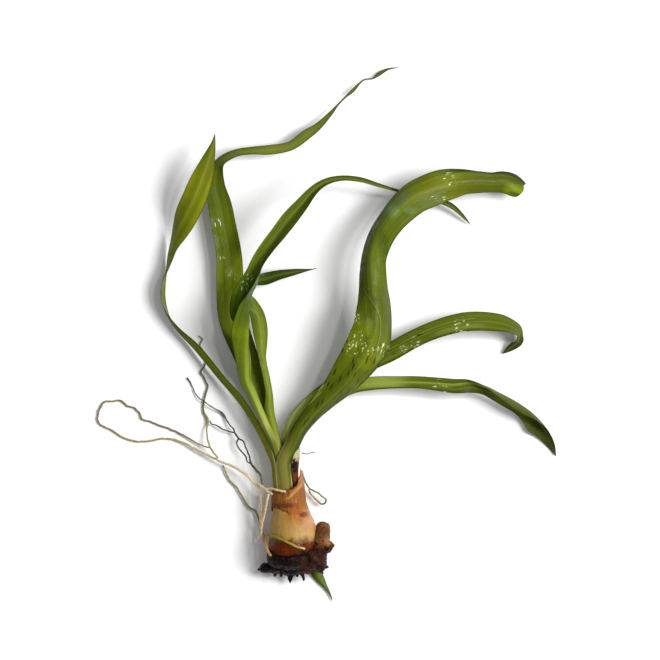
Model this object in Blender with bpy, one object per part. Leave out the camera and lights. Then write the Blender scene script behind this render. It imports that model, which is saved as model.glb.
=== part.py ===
"""A water onion, pulled from the water and laid on its side on a flat surface.

The plant is an elongated bulb in a torn papery tunic, a dark basal plate with old root stumps, seven
strap leaves that come out of the neck, one small leaf from under the basal plate, and fine roots.
It lies along +Y, from the basal plate to the leaf tips, with +Z up. The origin is the middle of the
flat patch that the bulb rests on. The tables are in millimetres and degrees.
"""

import math

import bmesh
import bpy
import numpy as np

MM = 0.001
FLOOR = 0.0

# The bulb: stations from the basal plate to the neck core, as
# (y, middle x, middle z, half width, half height).
BULB_REST_HEIGHT = 14.9
BULB_STATIONS = [
    (-19.0, -1.0, 14.5, 8.0, 8.0),
    (-17.5, -1.0, 14.6, 12.2, 12.2),
    (-13.5, -0.9, BULB_REST_HEIGHT, 14.9, 14.6),
    (-8.0, -0.7, BULB_REST_HEIGHT, 15.7, 15.2),
    (-3.0, -0.2, BULB_REST_HEIGHT, 15.7, 15.25),
    (3.0, 0.0, BULB_REST_HEIGHT, 15.1, 15.2),
    (8.0, -0.5, 14.9, 13.8, 13.8),
    (13.5, -1.6, 14.8, 12.0, 12.0),
    (18.5, -2.7, 14.7, 10.6, 10.6),
    (22.5, -3.6, 14.6, 9.4, 9.4),
    (24.8, -4.6, 14.6, 6.8, 6.8),
    (25.8, -5.8, 14.6, 2.9, 2.9),
    (38.0, -6.6, 15.0, 2.7, 2.7),
    (45.0, -7.2, 15.2, 2.3, 2.3),
    (48.0, -7.5, 15.3, 1.2, 1.2),
]
BULB_SIDES = 20

# The neck: the leaf bases stand in two rings round its axis.
NECK_START = (-5.6, 26.6, 14.6)
NECK_END = (-8.0, 50.0, 15.4)
OUTER_RING = 6.6
INNER_RING = 4.4

# The tunic: a thin torn shell over the bulb's shoulder.
TUNIC_GAP = 0.35
TUNIC_THICKNESS = 0.75
TUNIC_MOUTH_Y = 27.2
TUNIC_SIDES = 28
# Its hem and its torn rim, as (angle round the bulb from +Z towards +X, y).
TUNIC_HEM = [(-180, 10.0), (-120, 11.0), (-70, 15.5), (-25, 14.0), (10, 9.0), (45, 7.5), (100, 9.0), (180, 10.0)]
TUNIC_RIM = [(-180, 30.0), (-110, 29.0), (-60, 27.5), (0, 27.0), (30, 29.5), (58, 37.0), (88, 43.0), (125, 36.0), (180, 30.0)]

LEAF_THICKNESS = 1.5
THIN_END = 0.5
SAMPLE_STEP = 1.0
# The last section of a leaf is this many samples before its tip.
TIP_SECTION = 3
# The lowest part of each leaf is a plain arc round the neck, and its fold grows over the same length again.
SHEATH_LENGTH = 20.0

# Each leaf: the place of its base in the neck as (angle from +Z towards +X, ring radius, width), the
# gap between its sections, how far its section is a V and not an arc, and its stations past the neck
# as (x, y, z, width, roll, cup). Roll turns the outer face from up towards the leaf's left side, and
# a negative cup bends the margins away from the outer face.
LEAVES = {
    "outer_left_leaf": (
        (-78, OUTER_RING, 9.0), 8.0, 0.3,
        [
            (-17.7, 54.0, 13.0, 9.0, 68, -78),
            (-23.1, 64.8, 13.2, 10.0, 71, -82),
            (-35.6, 84.9, 12.2, 10.8, 72, -78),
            (-48.4, 100.1, 10.2, 11.0, 70, -72),
            (-66.6, 121.9, 8.0, 11.0, 73, -55),
            (-78.9, 135.2, 6.6, 11.0, 86, -32),
            (-84.7, 145.2, 6.0, 11.3, 100, -28),
            (-87.5, 155.7, 6.2, 12.0, 107, -28),
            (-86.6, 165.8, 6.8, 12.3, 102, -28),
            (-84.7, 172.5, 7.3, 12.6, 91, -28),
            (-83.4, 180.2, 8.2, 13.6, 78, -28),
            (-80.7, 190.0, 10.2, 14.8, 69, -28),
            (-76.2, 199.6, 13.2, 16.4, 50, -26),
            (-71.8, 208.6, 17.0, 17.0, 30, -22),
            (-66.7, 218.7, 21.0, 16.5, 13, -20),
            (-60.7, 233.3, 24.0, 14.5, 2, -20),
            (-55.6, 248.0, 25.5, 8.2, 0, -20),
            (-52.7, 258.0, 26.0, 2.8, 0, -20),
            (-51.6, 264.4, 26.2, 0.0, 0, -20),
        ],
    ),
    "tall_left_leaf": (
        (-157, OUTER_RING, 9.0), 8.0, 0.2,
        [
            (-14.8, 64.0, 9.5, 9.0, 170, -75),
            (-22.7, 90.7, 8.5, 12.0, 178, -60),
            (-31.8, 117.3, 8.5, 16.8, 182, -48),
            (-40.3, 142.0, 9.0, 19.2, 184, -42),
            (-41.8, 162.0, 9.5, 18.8, 184, -40),
            (-42.5, 182.0, 10.0, 17.6, 180, -40),
            (-46.0, 202.0, 10.0, 16.8, 178, -40),
            (-48.9, 216.7, 10.0, 16.2, 178, -40),
            (-51.8, 229.3, 10.0, 13.6, 180, -40),
            (-50.8, 239.2, 11.0, 10.8, 202, -35),
            (-47.6, 245.2, 12.5, 9.4, 232, -30),
            (-41.8, 249.0, 13.5, 8.6, 238, -30),
            (-35.0, 251.4, 14.0, 7.6, 240, -25),
            (-28.0, 252.3, 14.0, 7.4, 240, -25),
            (-14.0, 253.4, 12.5, 7.2, 216, -25),
            (-2.0, 255.8, 11.0, 7.2, 222, -25),
            (9.5, 263.9, 9.4, 7.0, 210, -20),
            (15.5, 268.0, 8.6, 6.0, 220, -20),
            (21.0, 273.2, 7.8, 5.0, 232, -15),
            (26.0, 278.8, 7.0, 3.8, 244, -10),
            (30.5, 284.2, 6.2, 2.6, 262, -10),
            (35.5, 289.2, 5.4, 2.4, 255, -10),
            (40.5, 293.7, 4.6, 2.6, 225, -10),
            (43.8, 297.4, 4.1, 2.2, 250, -10),
            (48.0, 300.7, 3.6, 1.8, 262, -10),
            (53.0, 301.3, 3.2, 1.8, 250, -10),
            (58.0, 304.7, 2.8, 2.8, 220, -10),
            (63.0, 307.4, 2.3, 1.8, 235, -10),
            (71.2, 308.9, 1.8, 0.0, 240, -10),
        ],
    ),
    "arching_leaf": (
        (-46, INNER_RING, 7.2), 7.0, 0.75,
        [
            (-12.7, 55.3, 18.8, 7.0, 30, -85),
            (-18.9, 70.0, 21.0, 8.3, 10, -100),
            (-27.3, 90.0, 22.8, 10.2, 0, -106),
            (-31.2, 100.0, 24.0, 12.0, -4, -110),
            (-31.4, 110.0, 25.5, 15.0, -12, -112),
            (-31.0, 120.0, 27.5, 18.5, -30, -114),
            (-29.8, 130.0, 29.5, 23.0, -54, -120),
            (-29.2, 140.0, 29.0, 25.0, -92, -132),
            (-29.4, 150.0, 27.0, 25.0, -118, -130),
            (-27.2, 158.0, 27.5, 23.5, -129, -123),
            (-23.9, 165.2, 28.8, 21.0, -133, -120),
            (-22.3, 171.6, 30.0, 18.5, -143, -124),
            (-21.2, 177.4, 31.2, 16.4, -155, -128),
            (-16.6, 187.3, 33.0, 16.4, -170, -130),
            (-10.1, 197.3, 34.5, 17.4, -180, -130),
            (-2.8, 206.8, 35.4, 17.4, -180, -124),
            (6.4, 217.3, 35.6, 15.0, -178, -130),
            (11.9, 224.0, 35.2, 12.6, -178, -138),
            (16.8, 228.5, 34.6, 10.8, -178, -144),
            (23.3, 231.9, 33.4, 9.2, -178, -148),
            (30.0, 233.5, 32.0, 8.0, -178, -150),
            (42.4, 233.1, 28.6, 7.0, -178, -145),
            (57.2, 229.1, 22.6, 5.2, -178, -145),
            (70.0, 225.7, 17.2, 3.6, -178, -145),
            (86.0, 222.2, 12.4, 4.4, -180, -130),
            (99.5, 218.6, 9.4, 5.8, -180, -122),
            (106.0, 215.4, 7.4, 5.6, -180, -120),
            (111.0, 211.3, 5.6, 4.2, -180, -118),
            (115.0, 207.4, 3.8, 2.6, -180, -110),
            (119.0, 203.3, 1.6, 0.0, -180, -100),
        ],
    ),
    "hooked_leaf": (
        (62, INNER_RING, 6.4), 7.0, 0.2,
        [
            (-8.8, 55.5, 17.2, 6.4, -30, -75),
            (-13.0, 68.7, 16.0, 6.4, -16, -62),
            (-15.6, 80.0, 15.2, 6.9, -12, -55),
            (-15.4, 90.0, 15.0, 6.2, -35, -50),
            (-17.4, 102.5, 14.9, 6.4, -40, -45),
            (-19.9, 115.0, 14.8, 7.2, -46, -42),
            (-20.7, 124.5, 14.8, 9.2, -30, -40),
            (-21.6, 133.5, 14.9, 10.6, -18, -38),
            (-23.2, 143.0, 15.0, 10.8, -28, -35),
            (-26.6, 152.0, 14.6, 9.8, -52, -30),
            (-29.4, 159.0, 13.6, 9.0, -80, -25),
            (-27.8, 164.2, 13.0, 9.0, -80, -25),
            (-23.4, 166.0, 12.8, 9.0, -50, -28),
            (-18.6, 167.2, 12.8, 8.6, -26, -30),
            (-10.0, 169.8, 12.5, 6.8, -16, -28),
            (-1.0, 171.6, 11.8, 4.8, -12, -25),
            (6.0, 172.8, 11.0, 2.8, -10, -20),
            (11.0, 173.5, 10.5, 1.2, -10, -20),
            (16.2, 174.5, 10.0, 0.0, -10, -20),
        ],
    ),
    "broad_leaf": (
        (25, OUTER_RING, 13.6), 8.0, 0.7,
        [
            (0.0, 55.3, 21.6, 12.5, -20, -98),
            (5.6, 66.6, 22.9, 13.6, -16, -104),
            (12.3, 75.2, 24.2, 15.2, -18, -104),
            (22.4, 85.5, 26.0, 19.2, -22, -90),
            (31.0, 93.6, 28.0, 23.8, -25, -80),
            (39.2, 103.0, 30.5, 28.4, -26, -70),
            (46.4, 113.1, 33.0, 31.0, -23, -60),
            (52.2, 125.6, 34.6, 31.5, -19, -54),
            (55.4, 137.9, 35.6, 29.8, -28, -62),
            (55.0, 149.5, 36.2, 27.2, -15, -90),
            (53.0, 160.0, 36.6, 25.8, 0, -118),
            (51.5, 171.0, 36.6, 24.5, 10, -118),
            (51.3, 180.0, 36.4, 23.5, 16, -118),
            (52.9, 188.6, 36.2, 23.8, 20, -118),
            (56.8, 198.3, 36.2, 24.2, 23, -111),
            (63.5, 207.8, 36.2, 24.6, 24, -99),
            (72.0, 216.0, 35.8, 24.8, 18, -85),
            (81.4, 222.7, 35.0, 24.8, 10, -71),
            (91.0, 226.6, 33.6, 24.6, 4, -61),
            (100.0, 229.7, 31.8, 23.4, 0, -60),
            (107.0, 231.1, 30.0, 21.8, -2, -64),
            (115.0, 232.2, 27.6, 19.5, -5, -82),
            (125.0, 232.5, 24.0, 17.4, 0, -92),
            (135.0, 232.3, 20.0, 16.2, 0, -98),
            (141.0, 232.6, 17.8, 16.9, 0, -85),
            (145.5, 231.5, 16.0, 16.8, 0, -64),
            (149.8, 229.7, 14.2, 16.2, 4, -42),
            (153.0, 229.3, 12.9, 13.2, 4, -36),
            (154.9, 229.5, 12.2, 8.4, 2, -28),
            (156.2, 230.6, 11.7, 0.0, 0, -20),
        ],
    ),
    "curled_right_leaf": (
        (180, INNER_RING, 7.0), 8.0, 0.2,
        [
            (-5.2, 55.5, 11.0, 7.2, 180, -80),
            (-2.2, 65.8, 10.6, 9.0, 184, -70),
            (4.0, 76.0, 10.8, 10.0, 188, -60),
            (14.8, 86.6, 11.2, 11.0, 192, -50),
            (33.0, 99.6, 12.2, 12.0, 196, -45),
            (50.0, 110.8, 13.6, 12.4, 200, -42),
            (65.4, 118.4, 15.4, 13.4, 202, -40),
            (76.4, 124.4, 16.8, 13.4, 204, -40),
            (90.4, 131.2, 18.2, 13.4, 206, -40),
            (105.2, 136.2, 18.8, 14.0, 208, -40),
            (118.0, 138.4, 18.2, 14.6, 208, -40),
            (130.0, 138.5, 16.4, 14.4, 208, -38),
            (139.4, 137.2, 14.4, 13.8, 212, -36),
            (146.0, 134.8, 12.4, 12.6, 220, -32),
            (150.2, 131.8, 10.0, 11.4, 220, -28),
            (150.5, 127.6, 7.8, 8.8, 202, -26),
            (150.0, 125.2, 5.8, 8.6, 178, -24),
            (147.2, 122.9, 4.4, 6.6, 160, -22),
            (143.8, 120.3, 3.2, 4.2, 154, -20),
            (139.8, 117.3, 2.0, 0.0, 150, -20),
        ],
    ),
    "lower_right_leaf": (
        (125, OUTER_RING, 8.6), 8.0, 0.6,
        [
            (-1.0, 55.0, 10.4, 8.8, -132, -80),
            (6.5, 65.0, 8.6, 9.4, -146, -80),
            (16.5, 79.4, 7.6, 10.4, -158, -85),
            (30.0, 89.6, 7.6, 11.4, -166, -95),
            (42.0, 95.2, 8.8, 11.8, -170, -102),
            (54.0, 97.1, 10.6, 11.8, -170, -104),
            (70.0, 97.8, 13.0, 10.8, -170, -104),
            (84.0, 97.9, 14.6, 10.8, -172, -104),
            (96.0, 97.6, 15.6, 11.2, -186, -98),
            (107.0, 97.1, 16.0, 12.5, -200, -94),
            (118.0, 98.3, 15.6, 14.0, -222, -95),
            (128.4, 95.6, 14.4, 13.0, -242, -98),
            (138.0, 91.0, 12.8, 14.6, -256, -104),
            (147.0, 86.3, 10.8, 16.2, -264, -112),
            (153.5, 82.3, 8.8, 16.4, -262, -116),
            (160.0, 77.2, 6.6, 18.0, -246, -118),
            (165.5, 71.0, 4.6, 20.0, -235, -116),
            (168.8, 65.4, 3.2, 14.0, -232, -100),
            (172.8, 57.4, 2.2, 8.0, -232, -70),
            (175.8, 48.5, 1.4, 0.0, -232, -40),
        ],
    ),
}

# The small leaf that shows past the basal plate, with the same columns.
BASAL_LEAF = [
    (12.0, -21.0, 2.4, 6.5, 0, -30),
    (15.6, -29.0, 2.4, 7.4, 0, -35),
    (19.0, -34.2, 2.3, 5.4, 5, -45),
    (21.5, -37.8, 2.1, 3.0, 10, -45),
    (23.9, -41.8, 1.8, 1.6, 10, -30),
    (25.5, -45.4, 1.4, 0.9, 10, -20),
    (26.3, -48.6, 1.0, 0.0, 10, -20),
]

# Roots, as (x, y, z, thickness), from where each one starts.
ROOTS = {
    "long_looped_root": [
        (-17.8, -11.0, 7.0, 2.0), (-20.6, -2.0, 9.5, 2.0), (-21.6, 8.0, 11.5, 1.9), (-21.4, 18.0, 13.0, 1.9),
        (-22.4, 26.5, 13.5, 2.0), (-26.5, 32.0, 12.5, 2.1), (-31.5, 37.0, 10.5, 2.0), (-38.5, 41.5, 8.0, 1.9),
        (-48.5, 45.6, 5.6, 1.8), (-63.3, 52.8, 3.4, 1.7), (-78.2, 59.7, 1.8, 1.5), (-87.3, 60.8, 1.1, 1.4),
        (-94.2, 59.3, 1.0, 1.4), (-106.0, 59.0, 1.0, 1.4), (-113.3, 61.3, 1.0, 1.3), (-121.8, 66.7, 1.0, 1.3),
        (-128.2, 69.8, 1.0, 1.2), (-130.6, 73.0, 1.0, 1.2), (-130.2, 77.0, 1.0, 1.2), (-129.0, 81.0, 1.0, 1.3),
        (-126.0, 85.2, 1.0, 1.3), (-120.6, 85.6, 1.0, 1.2), (-115.0, 86.0, 1.0, 1.3), (-111.2, 82.8, 1.0, 1.3),
        (-105.8, 81.0, 1.0, 1.2), (-102.6, 77.8, 1.0, 1.2), (-101.0, 74.0, 1.0, 1.3), (-95.3, 72.0, 1.0, 1.2),
        (-89.3, 69.6, 1.1, 1.3), (-82.4, 67.2, 1.2, 1.2), (-71.4, 61.9, 1.8, 1.3), (-62.8, 57.0, 2.6, 1.2),
        (-56.0, 54.6, 5.2, 1.0),
    ],
    "upright_root": [
        (-50.0, 47.9, 7.6, 1.6), (-54.6, 53.8, 6.8, 1.5), (-57.0, 59.8, 5.0, 1.4), (-57.5, 68.2, 2.6, 1.4),
        (-57.0, 73.5, 1.5, 2.1), (-59.6, 78.8, 1.2, 1.5), (-59.6, 85.2, 1.2, 1.4), (-58.0, 91.6, 1.2, 1.4),
        (-57.0, 95.8, 1.2, 1.4), (-59.6, 101.2, 1.2, 1.3), (-61.7, 105.4, 1.1, 1.3), (-59.0, 110.0, 1.0, 1.2),
        (-58.4, 114.6, 1.0, 1.2), (-60.2, 119.4, 1.0, 1.1), (-62.2, 123.0, 0.9, 1.1), (-60.6, 127.6, 0.9, 1.0),
        (-63.3, 129.4, 0.9, 0.8),
    ],
    "forked_root": [
        (-20.2, 30.6, 17.0, 1.7), (-21.6, 36.3, 16.0, 1.9), (-24.6, 39.9, 14.5, 1.9), (-28.0, 44.6, 12.5, 1.6),
        (-29.4, 49.6, 10.5, 1.2), (-31.6, 55.0, 8.2, 1.1), (-33.6, 59.4, 6.8, 1.2), (-36.4, 61.2, 5.6, 1.4),
        (-38.8, 64.4, 4.4, 1.3), (-39.6, 66.8, 4.0, 1.1), (-42.8, 70.4, 3.0, 1.1), (-44.6, 73.2, 2.0, 1.2),
        (-46.4, 76.6, 1.4, 1.8), (-50.2, 79.6, 2.8, 1.1), (-54.6, 82.2, 3.6, 1.0), (-60.2, 86.2, 3.2, 0.9),
        (-63.6, 88.6, 1.8, 0.9), (-66.0, 92.4, 1.0, 0.8), (-68.2, 97.6, 0.8, 0.8), (-70.8, 101.4, 0.8, 1.2),
    ],
    "drooping_root": [
        (-19.4, -5.4, 4.6, 1.7), (-21.4, 1.6, 4.0, 1.7), (-23.2, 8.0, 3.4, 1.7), (-25.4, 12.4, 3.0, 1.7),
        (-29.2, 14.8, 2.6, 1.7), (-32.6, 19.6, 2.2, 1.6), (-34.8, 23.6, 1.9, 1.5), (-38.4, 28.9, 1.6, 1.4),
        (-42.6, 33.2, 1.5, 1.3), (-45.2, 38.6, 1.6, 1.3), (-47.0, 43.0, 1.8, 1.2),
    ],
    "side_root": [
        (-16.2, 24.2, 21.6, 1.9), (-18.0, 15.3, 18.6, 1.9), (-19.2, 9.5, 16.8, 1.8), (-20.8, 2.3, 15.0, 1.7),
        (-21.8, -4.2, 13.4, 1.6), (-24.2, -6.6, 12.6, 1.2),
    ],
    "crossing_root": [
        (-18.2, -2.7, 20.8, 1.9), (-13.6, -3.6, 25.4, 1.9), (-7.6, -5.6, 29.6, 1.9), (-1.6, -8.4, 31.0, 1.9),
        (3.6, -11.0, 30.2, 1.8), (7.9, -12.0, 29.0, 1.6),
    ],
    "short_root": [
        (-18.4, -5.0, 17.6, 1.9), (-17.8, -9.6, 18.6, 1.9), (-16.8, -13.4, 21.4, 2.0), (-14.8, -16.6, 24.8, 1.9),
    ],
    "right_looped_root": [
        (6.0, 39.4, 6.0, 1.1), (6.8, 36.2, 7.2, 1.2), (8.2, 32.0, 8.6, 1.3), (10.0, 28.8, 9.2, 1.3),
        (12.8, 26.6, 9.0, 1.3), (16.4, 24.7, 8.2, 1.3), (19.8, 22.0, 7.2, 1.3), (22.1, 19.4, 6.2, 1.3),
        (21.2, 17.4, 5.4, 1.3), (18.6, 17.3, 4.8, 1.3), (16.2, 19.2, 4.3, 1.3), (13.4, 22.2, 4.0, 1.3),
        (11.4, 24.6, 4.2, 1.5), (10.6, 26.8, 4.8, 1.2),
    ],
    "hair_root": [
        (5.8, 51.3, 15.0, 0.9), (8.6, 51.0, 15.2, 0.8), (10.2, 50.8, 15.0, 0.7), (12.6, 51.7, 14.6, 0.8),
        (15.3, 52.0, 14.2, 0.6),
    ],
}
# Side roots that grow out of a root, with the same columns.
SIDE_ROOTS = {
    "long_looped_root": [
        [(-26.0, 31.6, 12.8, 1.6), (-22.4, 30.0, 15.5, 1.7), (-18.4, 27.3, 18.6, 1.8), (-15.4, 25.0, 20.6, 1.8),
         (-13.4, 23.9, 21.6, 1.5)],
        [(-18.8, 27.6, 18.4, 1.5), (-14.2, 27.8, 21.6, 1.7), (-9.6, 26.8, 25.8, 1.8), (-4.8, 26.0, 27.8, 1.6)],
    ],
    "forked_root": [
        [(-38.6, 64.6, 4.4, 1.1), (-42.0, 65.4, 4.2, 1.1), (-46.0, 66.6, 3.8, 1.1), (-49.4, 68.4, 3.2, 1.3),
         (-52.0, 69.9, 3.0, 1.0), (-54.4, 70.6, 2.8, 1.0), (-55.6, 72.6, 2.8, 1.0)],
        [(-36.6, 60.4, 5.6, 1.1), (-37.6, 57.6, 5.2, 1.1), (-36.2, 54.4, 5.6, 1.1), (-33.6, 51.4, 6.6, 1.1),
         (-31.4, 48.6, 8.4, 1.1), (-30.6, 45.6, 10.4, 1.1), (-28.4, 44.4, 12.4, 1.1)],
    ],
}
ROOT_SIDES = 6
ROOT_STEP = 4.0

# The basal plate: overlapping lumps as (x, y, z, radius x, radius y, radius z).
PLATE_LUMPS = [
    (-1.5, -19.5, 14.5, 16.0, 7.5, 13.5),
    (-12.0, -17.0, 14.0, 5.5, 8.5, 10.0),
    (-17.6, -25.6, 8.5, 5.2, 3.6, 5.4),
    (-11.0, -24.4, 9.0, 6.2, 4.8, 7.2),
    (-1.5, -26.0, 10.0, 7.6, 4.6, 8.6),
    (8.0, -24.0, 12.5, 7.5, 5.4, 8.5),
    (13.5, -17.5, 14.0, 9.5, 8.5, 11.0),
    (17.4, -22.5, 13.5, 5.4, 5.8, 6.5),
    (18.6, -4.5, 13.0, 6.0, 8.6, 8.6),
    (20.0, 0.4, 13.4, 4.9, 5.3, 6.2),
    (22.8, -10.6, 14.5, 4.2, 4.6, 4.8),
]
# Old root stumps on it, as (start, end, start radius, end radius).
STUMPS = [
    ((-19.0, -25.4, 8.0), (-22.6, -26.6, 7.0), 2.2, 0.9),
    ((-11.5, -27.0, 7.0), (-12.0, -30.6, 5.5), 2.2, 1.1),
    ((-1.5, -28.0, 9.0), (-1.8, -35.2, 7.0), 2.8, 0.8),
    ((5.4, -27.5, 9.5), (7.4, -33.6, 8.0), 1.8, 0.7),
    ((19.0, -23.5, 13.0), (22.6, -24.6, 12.5), 2.0, 1.0),
    ((17.4, -26.0, 12.0), (19.6, -28.6, 10.5), 1.9, 0.9),
    ((22.0, -10.0, 14.0), (26.6, -10.4, 14.0), 2.2, 0.9),
    ((4.0, -24.0, 4.0), (3.0, -31.0, 2.4), 2.2, 1.0),
    ((-7.0, -24.0, 16.0), (-8.0, -30.0, 17.5), 2.0, 1.0),
]
PLATE_VOXEL = 1.3
SOCKET_GAP = 0.45

# A dried leaf base inside the torn side of the tunic, with the leaves' columns.
DRIED_BASE = [
    (3.0, 27.6, 17.4, 4.4, -60, -60),
    (2.6, 34.0, 18.6, 5.2, -48, -60),
    (1.9, 40.0, 19.6, 6.0, -36, -55),
    (2.2, 46.0, 19.6, 6.0, -34, -45),
    (3.4, 51.0, 18.6, 4.6, -40, -35),
    (4.6, 55.5, 17.0, 0.0, -50, -30),
]


def clear_scene():
    for thing in list(bpy.data.objects):
        bpy.data.objects.remove(thing)


def finish_material(name, colour, roughness):
    material = bpy.data.materials.new(name)
    material.use_nodes = True
    shader = material.node_tree.nodes["Principled BSDF"]
    shader.inputs["Base Color"].default_value = (*colour, 1.0)
    shader.inputs["Roughness"].default_value = roughness
    shader.inputs["Metallic"].default_value = 0.0
    return material


def add_object(name, points, faces, material):
    """A closed mesh from points in millimetres, nothing of it under the floor."""
    lifted = [(x * MM, y * MM, max(z, FLOOR) * MM) for x, y, z in points]
    mesh = bpy.data.meshes.new(name)
    mesh.from_pydata(lifted, [], faces)
    part = bpy.data.objects.new(name, mesh)
    bpy.context.collection.objects.link(part)
    mesh.materials.append(material)
    work = bmesh.new()
    work.from_mesh(mesh)
    bmesh.ops.triangulate(work, faces=[f for f in work.faces if len(f.verts) > 4])
    bmesh.ops.recalc_face_normals(work, faces=work.faces)
    if work.calc_volume(signed=True) < 0:
        bmesh.ops.reverse_faces(work, faces=work.faces)
    work.to_mesh(mesh)
    work.free()
    mesh.shade_smooth()
    mesh.set_sharp_from_angle(angle=math.radians(50))
    return part


def swept_faces(rings, points_in_ring, ends_in_point, closed=False):
    """Faces that join equal rings one after another, with an end cap or an end point."""
    faces = []
    for ring in range(rings if closed else rings - 1):
        here = ring * points_in_ring
        there = (ring + 1) % rings * points_in_ring
        for k in range(points_in_ring):
            after = (k + 1) % points_in_ring
            faces.append((here + k, here + after, there + after, there + k))
    if closed:
        return faces
    faces.append(tuple(range(points_in_ring)))
    last = (rings - 1) * points_in_ring
    if ends_in_point:
        tip = rings * points_in_ring
        for k in range(points_in_ring):
            faces.append((last + k, last + (k + 1) % points_in_ring, tip))
    else:
        faces.append(tuple(range(last, last + points_in_ring)))
    return faces


def smooth_rows(rows, step):
    """Rows read along a smooth curve through the given ones, evenly spaced by their first three columns."""
    rows = np.array(rows, float)
    gaps = np.linalg.norm(np.diff(rows[:, :3], axis=0), axis=1)
    knots = np.concatenate([[0.0], np.cumsum(gaps)])
    slopes = np.diff(rows, axis=0) / gaps[:, None]
    before, after = gaps[:-1, None], gaps[1:, None]
    inner = (slopes[:-1] * after + slopes[1:] * before) / (before + after)
    tangents = np.vstack([slopes[:1], inner, slopes[-1:]])
    count = max(3, int(round(knots[-1] / step)) + 1)
    places = np.linspace(0.0, knots[-1], count)
    index = np.clip(np.searchsorted(knots, places, side="right") - 1, 0, len(gaps) - 1)
    span = gaps[index][:, None]
    t = (places - knots[index])[:, None] / span
    return (
        (2 * t**3 - 3 * t**2 + 1) * rows[index]
        + (t**3 - 2 * t**2 + t) * span * tangents[index]
        + (3 * t**2 - 2 * t**3) * rows[index + 1]
        + (t**3 - t**2) * span * tangents[index + 1]
    )


def unit(vector):
    return vector / np.linalg.norm(vector)


def carried_frames(points):
    """Tangent, right side and normal at each point: the normal starts up and is carried along untwisted."""
    tangents = np.gradient(points, axis=0)
    tangents /= np.linalg.norm(tangents, axis=1)[:, None]
    normal = unit(np.array([0.0, 0.0, 1.0]) - tangents[0][2] * tangents[0])
    normals = []
    for tangent in tangents:
        normal = unit(normal - np.dot(normal, tangent) * tangent)
        normals.append(normal)
    normals = np.array(normals)
    return tangents, np.cross(tangents, normals), normals


def neck_station(share, angle, radius, width):
    """A leaf station on a ring round the neck's axis, the leaf bent round the axis with its outer face out."""
    middle = np.array(NECK_START) + share * (np.array(NECK_END) - np.array(NECK_START))
    turn = math.radians(angle)
    cup = -math.degrees(width / radius)
    return (
        middle[0] + radius * math.sin(turn),
        middle[1],
        middle[2] + radius * math.cos(turn),
        width,
        -angle,
        cup,
    )


def section_curve(shares, width, cup, crease):
    """Offsets across a leaf along its right side and its normal, at shares of the half width from -1 to 1."""
    half_bend = math.radians(cup) / 2
    across, along = [0.0], [0.0]
    for a, b in zip(shares[:-1], shares[1:]):
        middle = (a + b) / 2
        bend = half_bend * ((1 - crease) * middle + crease * math.copysign(1.0, middle))
        reach = (b - a) * width / 2
        across.append(across[-1] + reach * math.cos(bend))
        along.append(along[-1] + reach * math.sin(bend))
    across, along = np.array(across), np.array(along)
    centre = len(shares) // 2
    return across - across[centre], along - along[centre]


def leaf_rings(stations, step, crease, thickness):
    """Rings of points round the leaf's sections, and its tip."""
    fine = smooth_rows(stations, SAMPLE_STEP)
    _, sides, normals = carried_frames(fine[:, :3])
    last = len(fine) - 1
    picked = np.unique(np.round(np.linspace(0, last, max(4, int(last / step) + 1))).astype(int))[:-1]
    picked = np.unique(np.append(picked, last - TIP_SECTION))
    shares = [-1.0, -0.5, 0.0, 0.5, 1.0]
    rings = []
    for i in picked:
        x, y, z, width, roll, cup = fine[i]
        turn = math.radians(roll)
        side = math.cos(turn) * sides[i] + math.sin(turn) * normals[i]
        normal = math.cos(turn) * normals[i] - math.sin(turn) * sides[i]
        folded = crease * min(1.0, max(0.0, i * SAMPLE_STEP - SHEATH_LENGTH) / SHEATH_LENGTH)
        across, along = section_curve(shares, max(width, 0.6), cup, folded)
        thick = thickness * (1 - i / last) + THIN_END * i / last
        thick = min(thick, max(width, 0.6) * 0.5)
        middle = np.array([x, y, z])
        line = [middle + a * side + n * normal for a, n in zip(across, along)]
        top = [p + normal * thick / 2 * (1 - s * s) for p, s in zip(line, shares)]
        under = [p - normal * thick / 2 * (1 - s * s) for p, s in zip(line, shares)]
        rings.append(top + under[-2:0:-1])
    return rings, fine[-1, :3]


def leaf_faces(rings, points_in_ring):
    """Swept faces with each side strip cut in two along the same line above and below the blade."""
    faces = []
    for face in swept_faces(rings, points_in_ring, True):
        if len(face) != 4:
            faces.append(face)
            continue
        here, after, over_after, over = face
        if here % points_in_ring < points_in_ring // 2:
            faces += [(here, after, over_after), (here, over_after, over)]
        else:
            faces += [(here, after, over), (after, over_after, over)]
    return faces


def build_leaf(name, stations, step, crease, thickness, material):
    rings, tip = leaf_rings(stations, step, crease, thickness)
    points = [p for ring in rings for p in ring] + [tip]
    return add_object(name, points, leaf_faces(len(rings), len(rings[0])), material)


def build_leaves(material):
    for name, (base, step, crease, stations) in LEAVES.items():
        angle, radius, width = base
        sheath = [neck_station(share, angle, radius, width) for share in (0.0, 0.4, 0.75)]
        turns = 360 * round((sheath[-1][4] - stations[0][4]) / 360)
        joined = sheath + [(*row[:4], row[4] + turns, row[5]) for row in stations]
        build_leaf(name, joined, step, crease, LEAF_THICKNESS, material)
    build_leaf("basal_leaf", BASAL_LEAF, 5.0, 0.3, 0.9, material)


def build_tube(name, route, material):
    rows = smooth_rows(route, ROOT_STEP)
    _, sides, normals = carried_frames(rows[:, :3])
    turns = np.arange(ROOT_SIDES) * 2 * math.pi / ROOT_SIDES
    points = []
    for row, side, normal in zip(rows, sides, normals):
        for turn in turns:
            points.append(row[:3] + row[3] / 2 * (math.cos(turn) * side + math.sin(turn) * normal))
    return add_object(name, points, swept_faces(len(rows), ROOT_SIDES, False), material)


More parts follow.
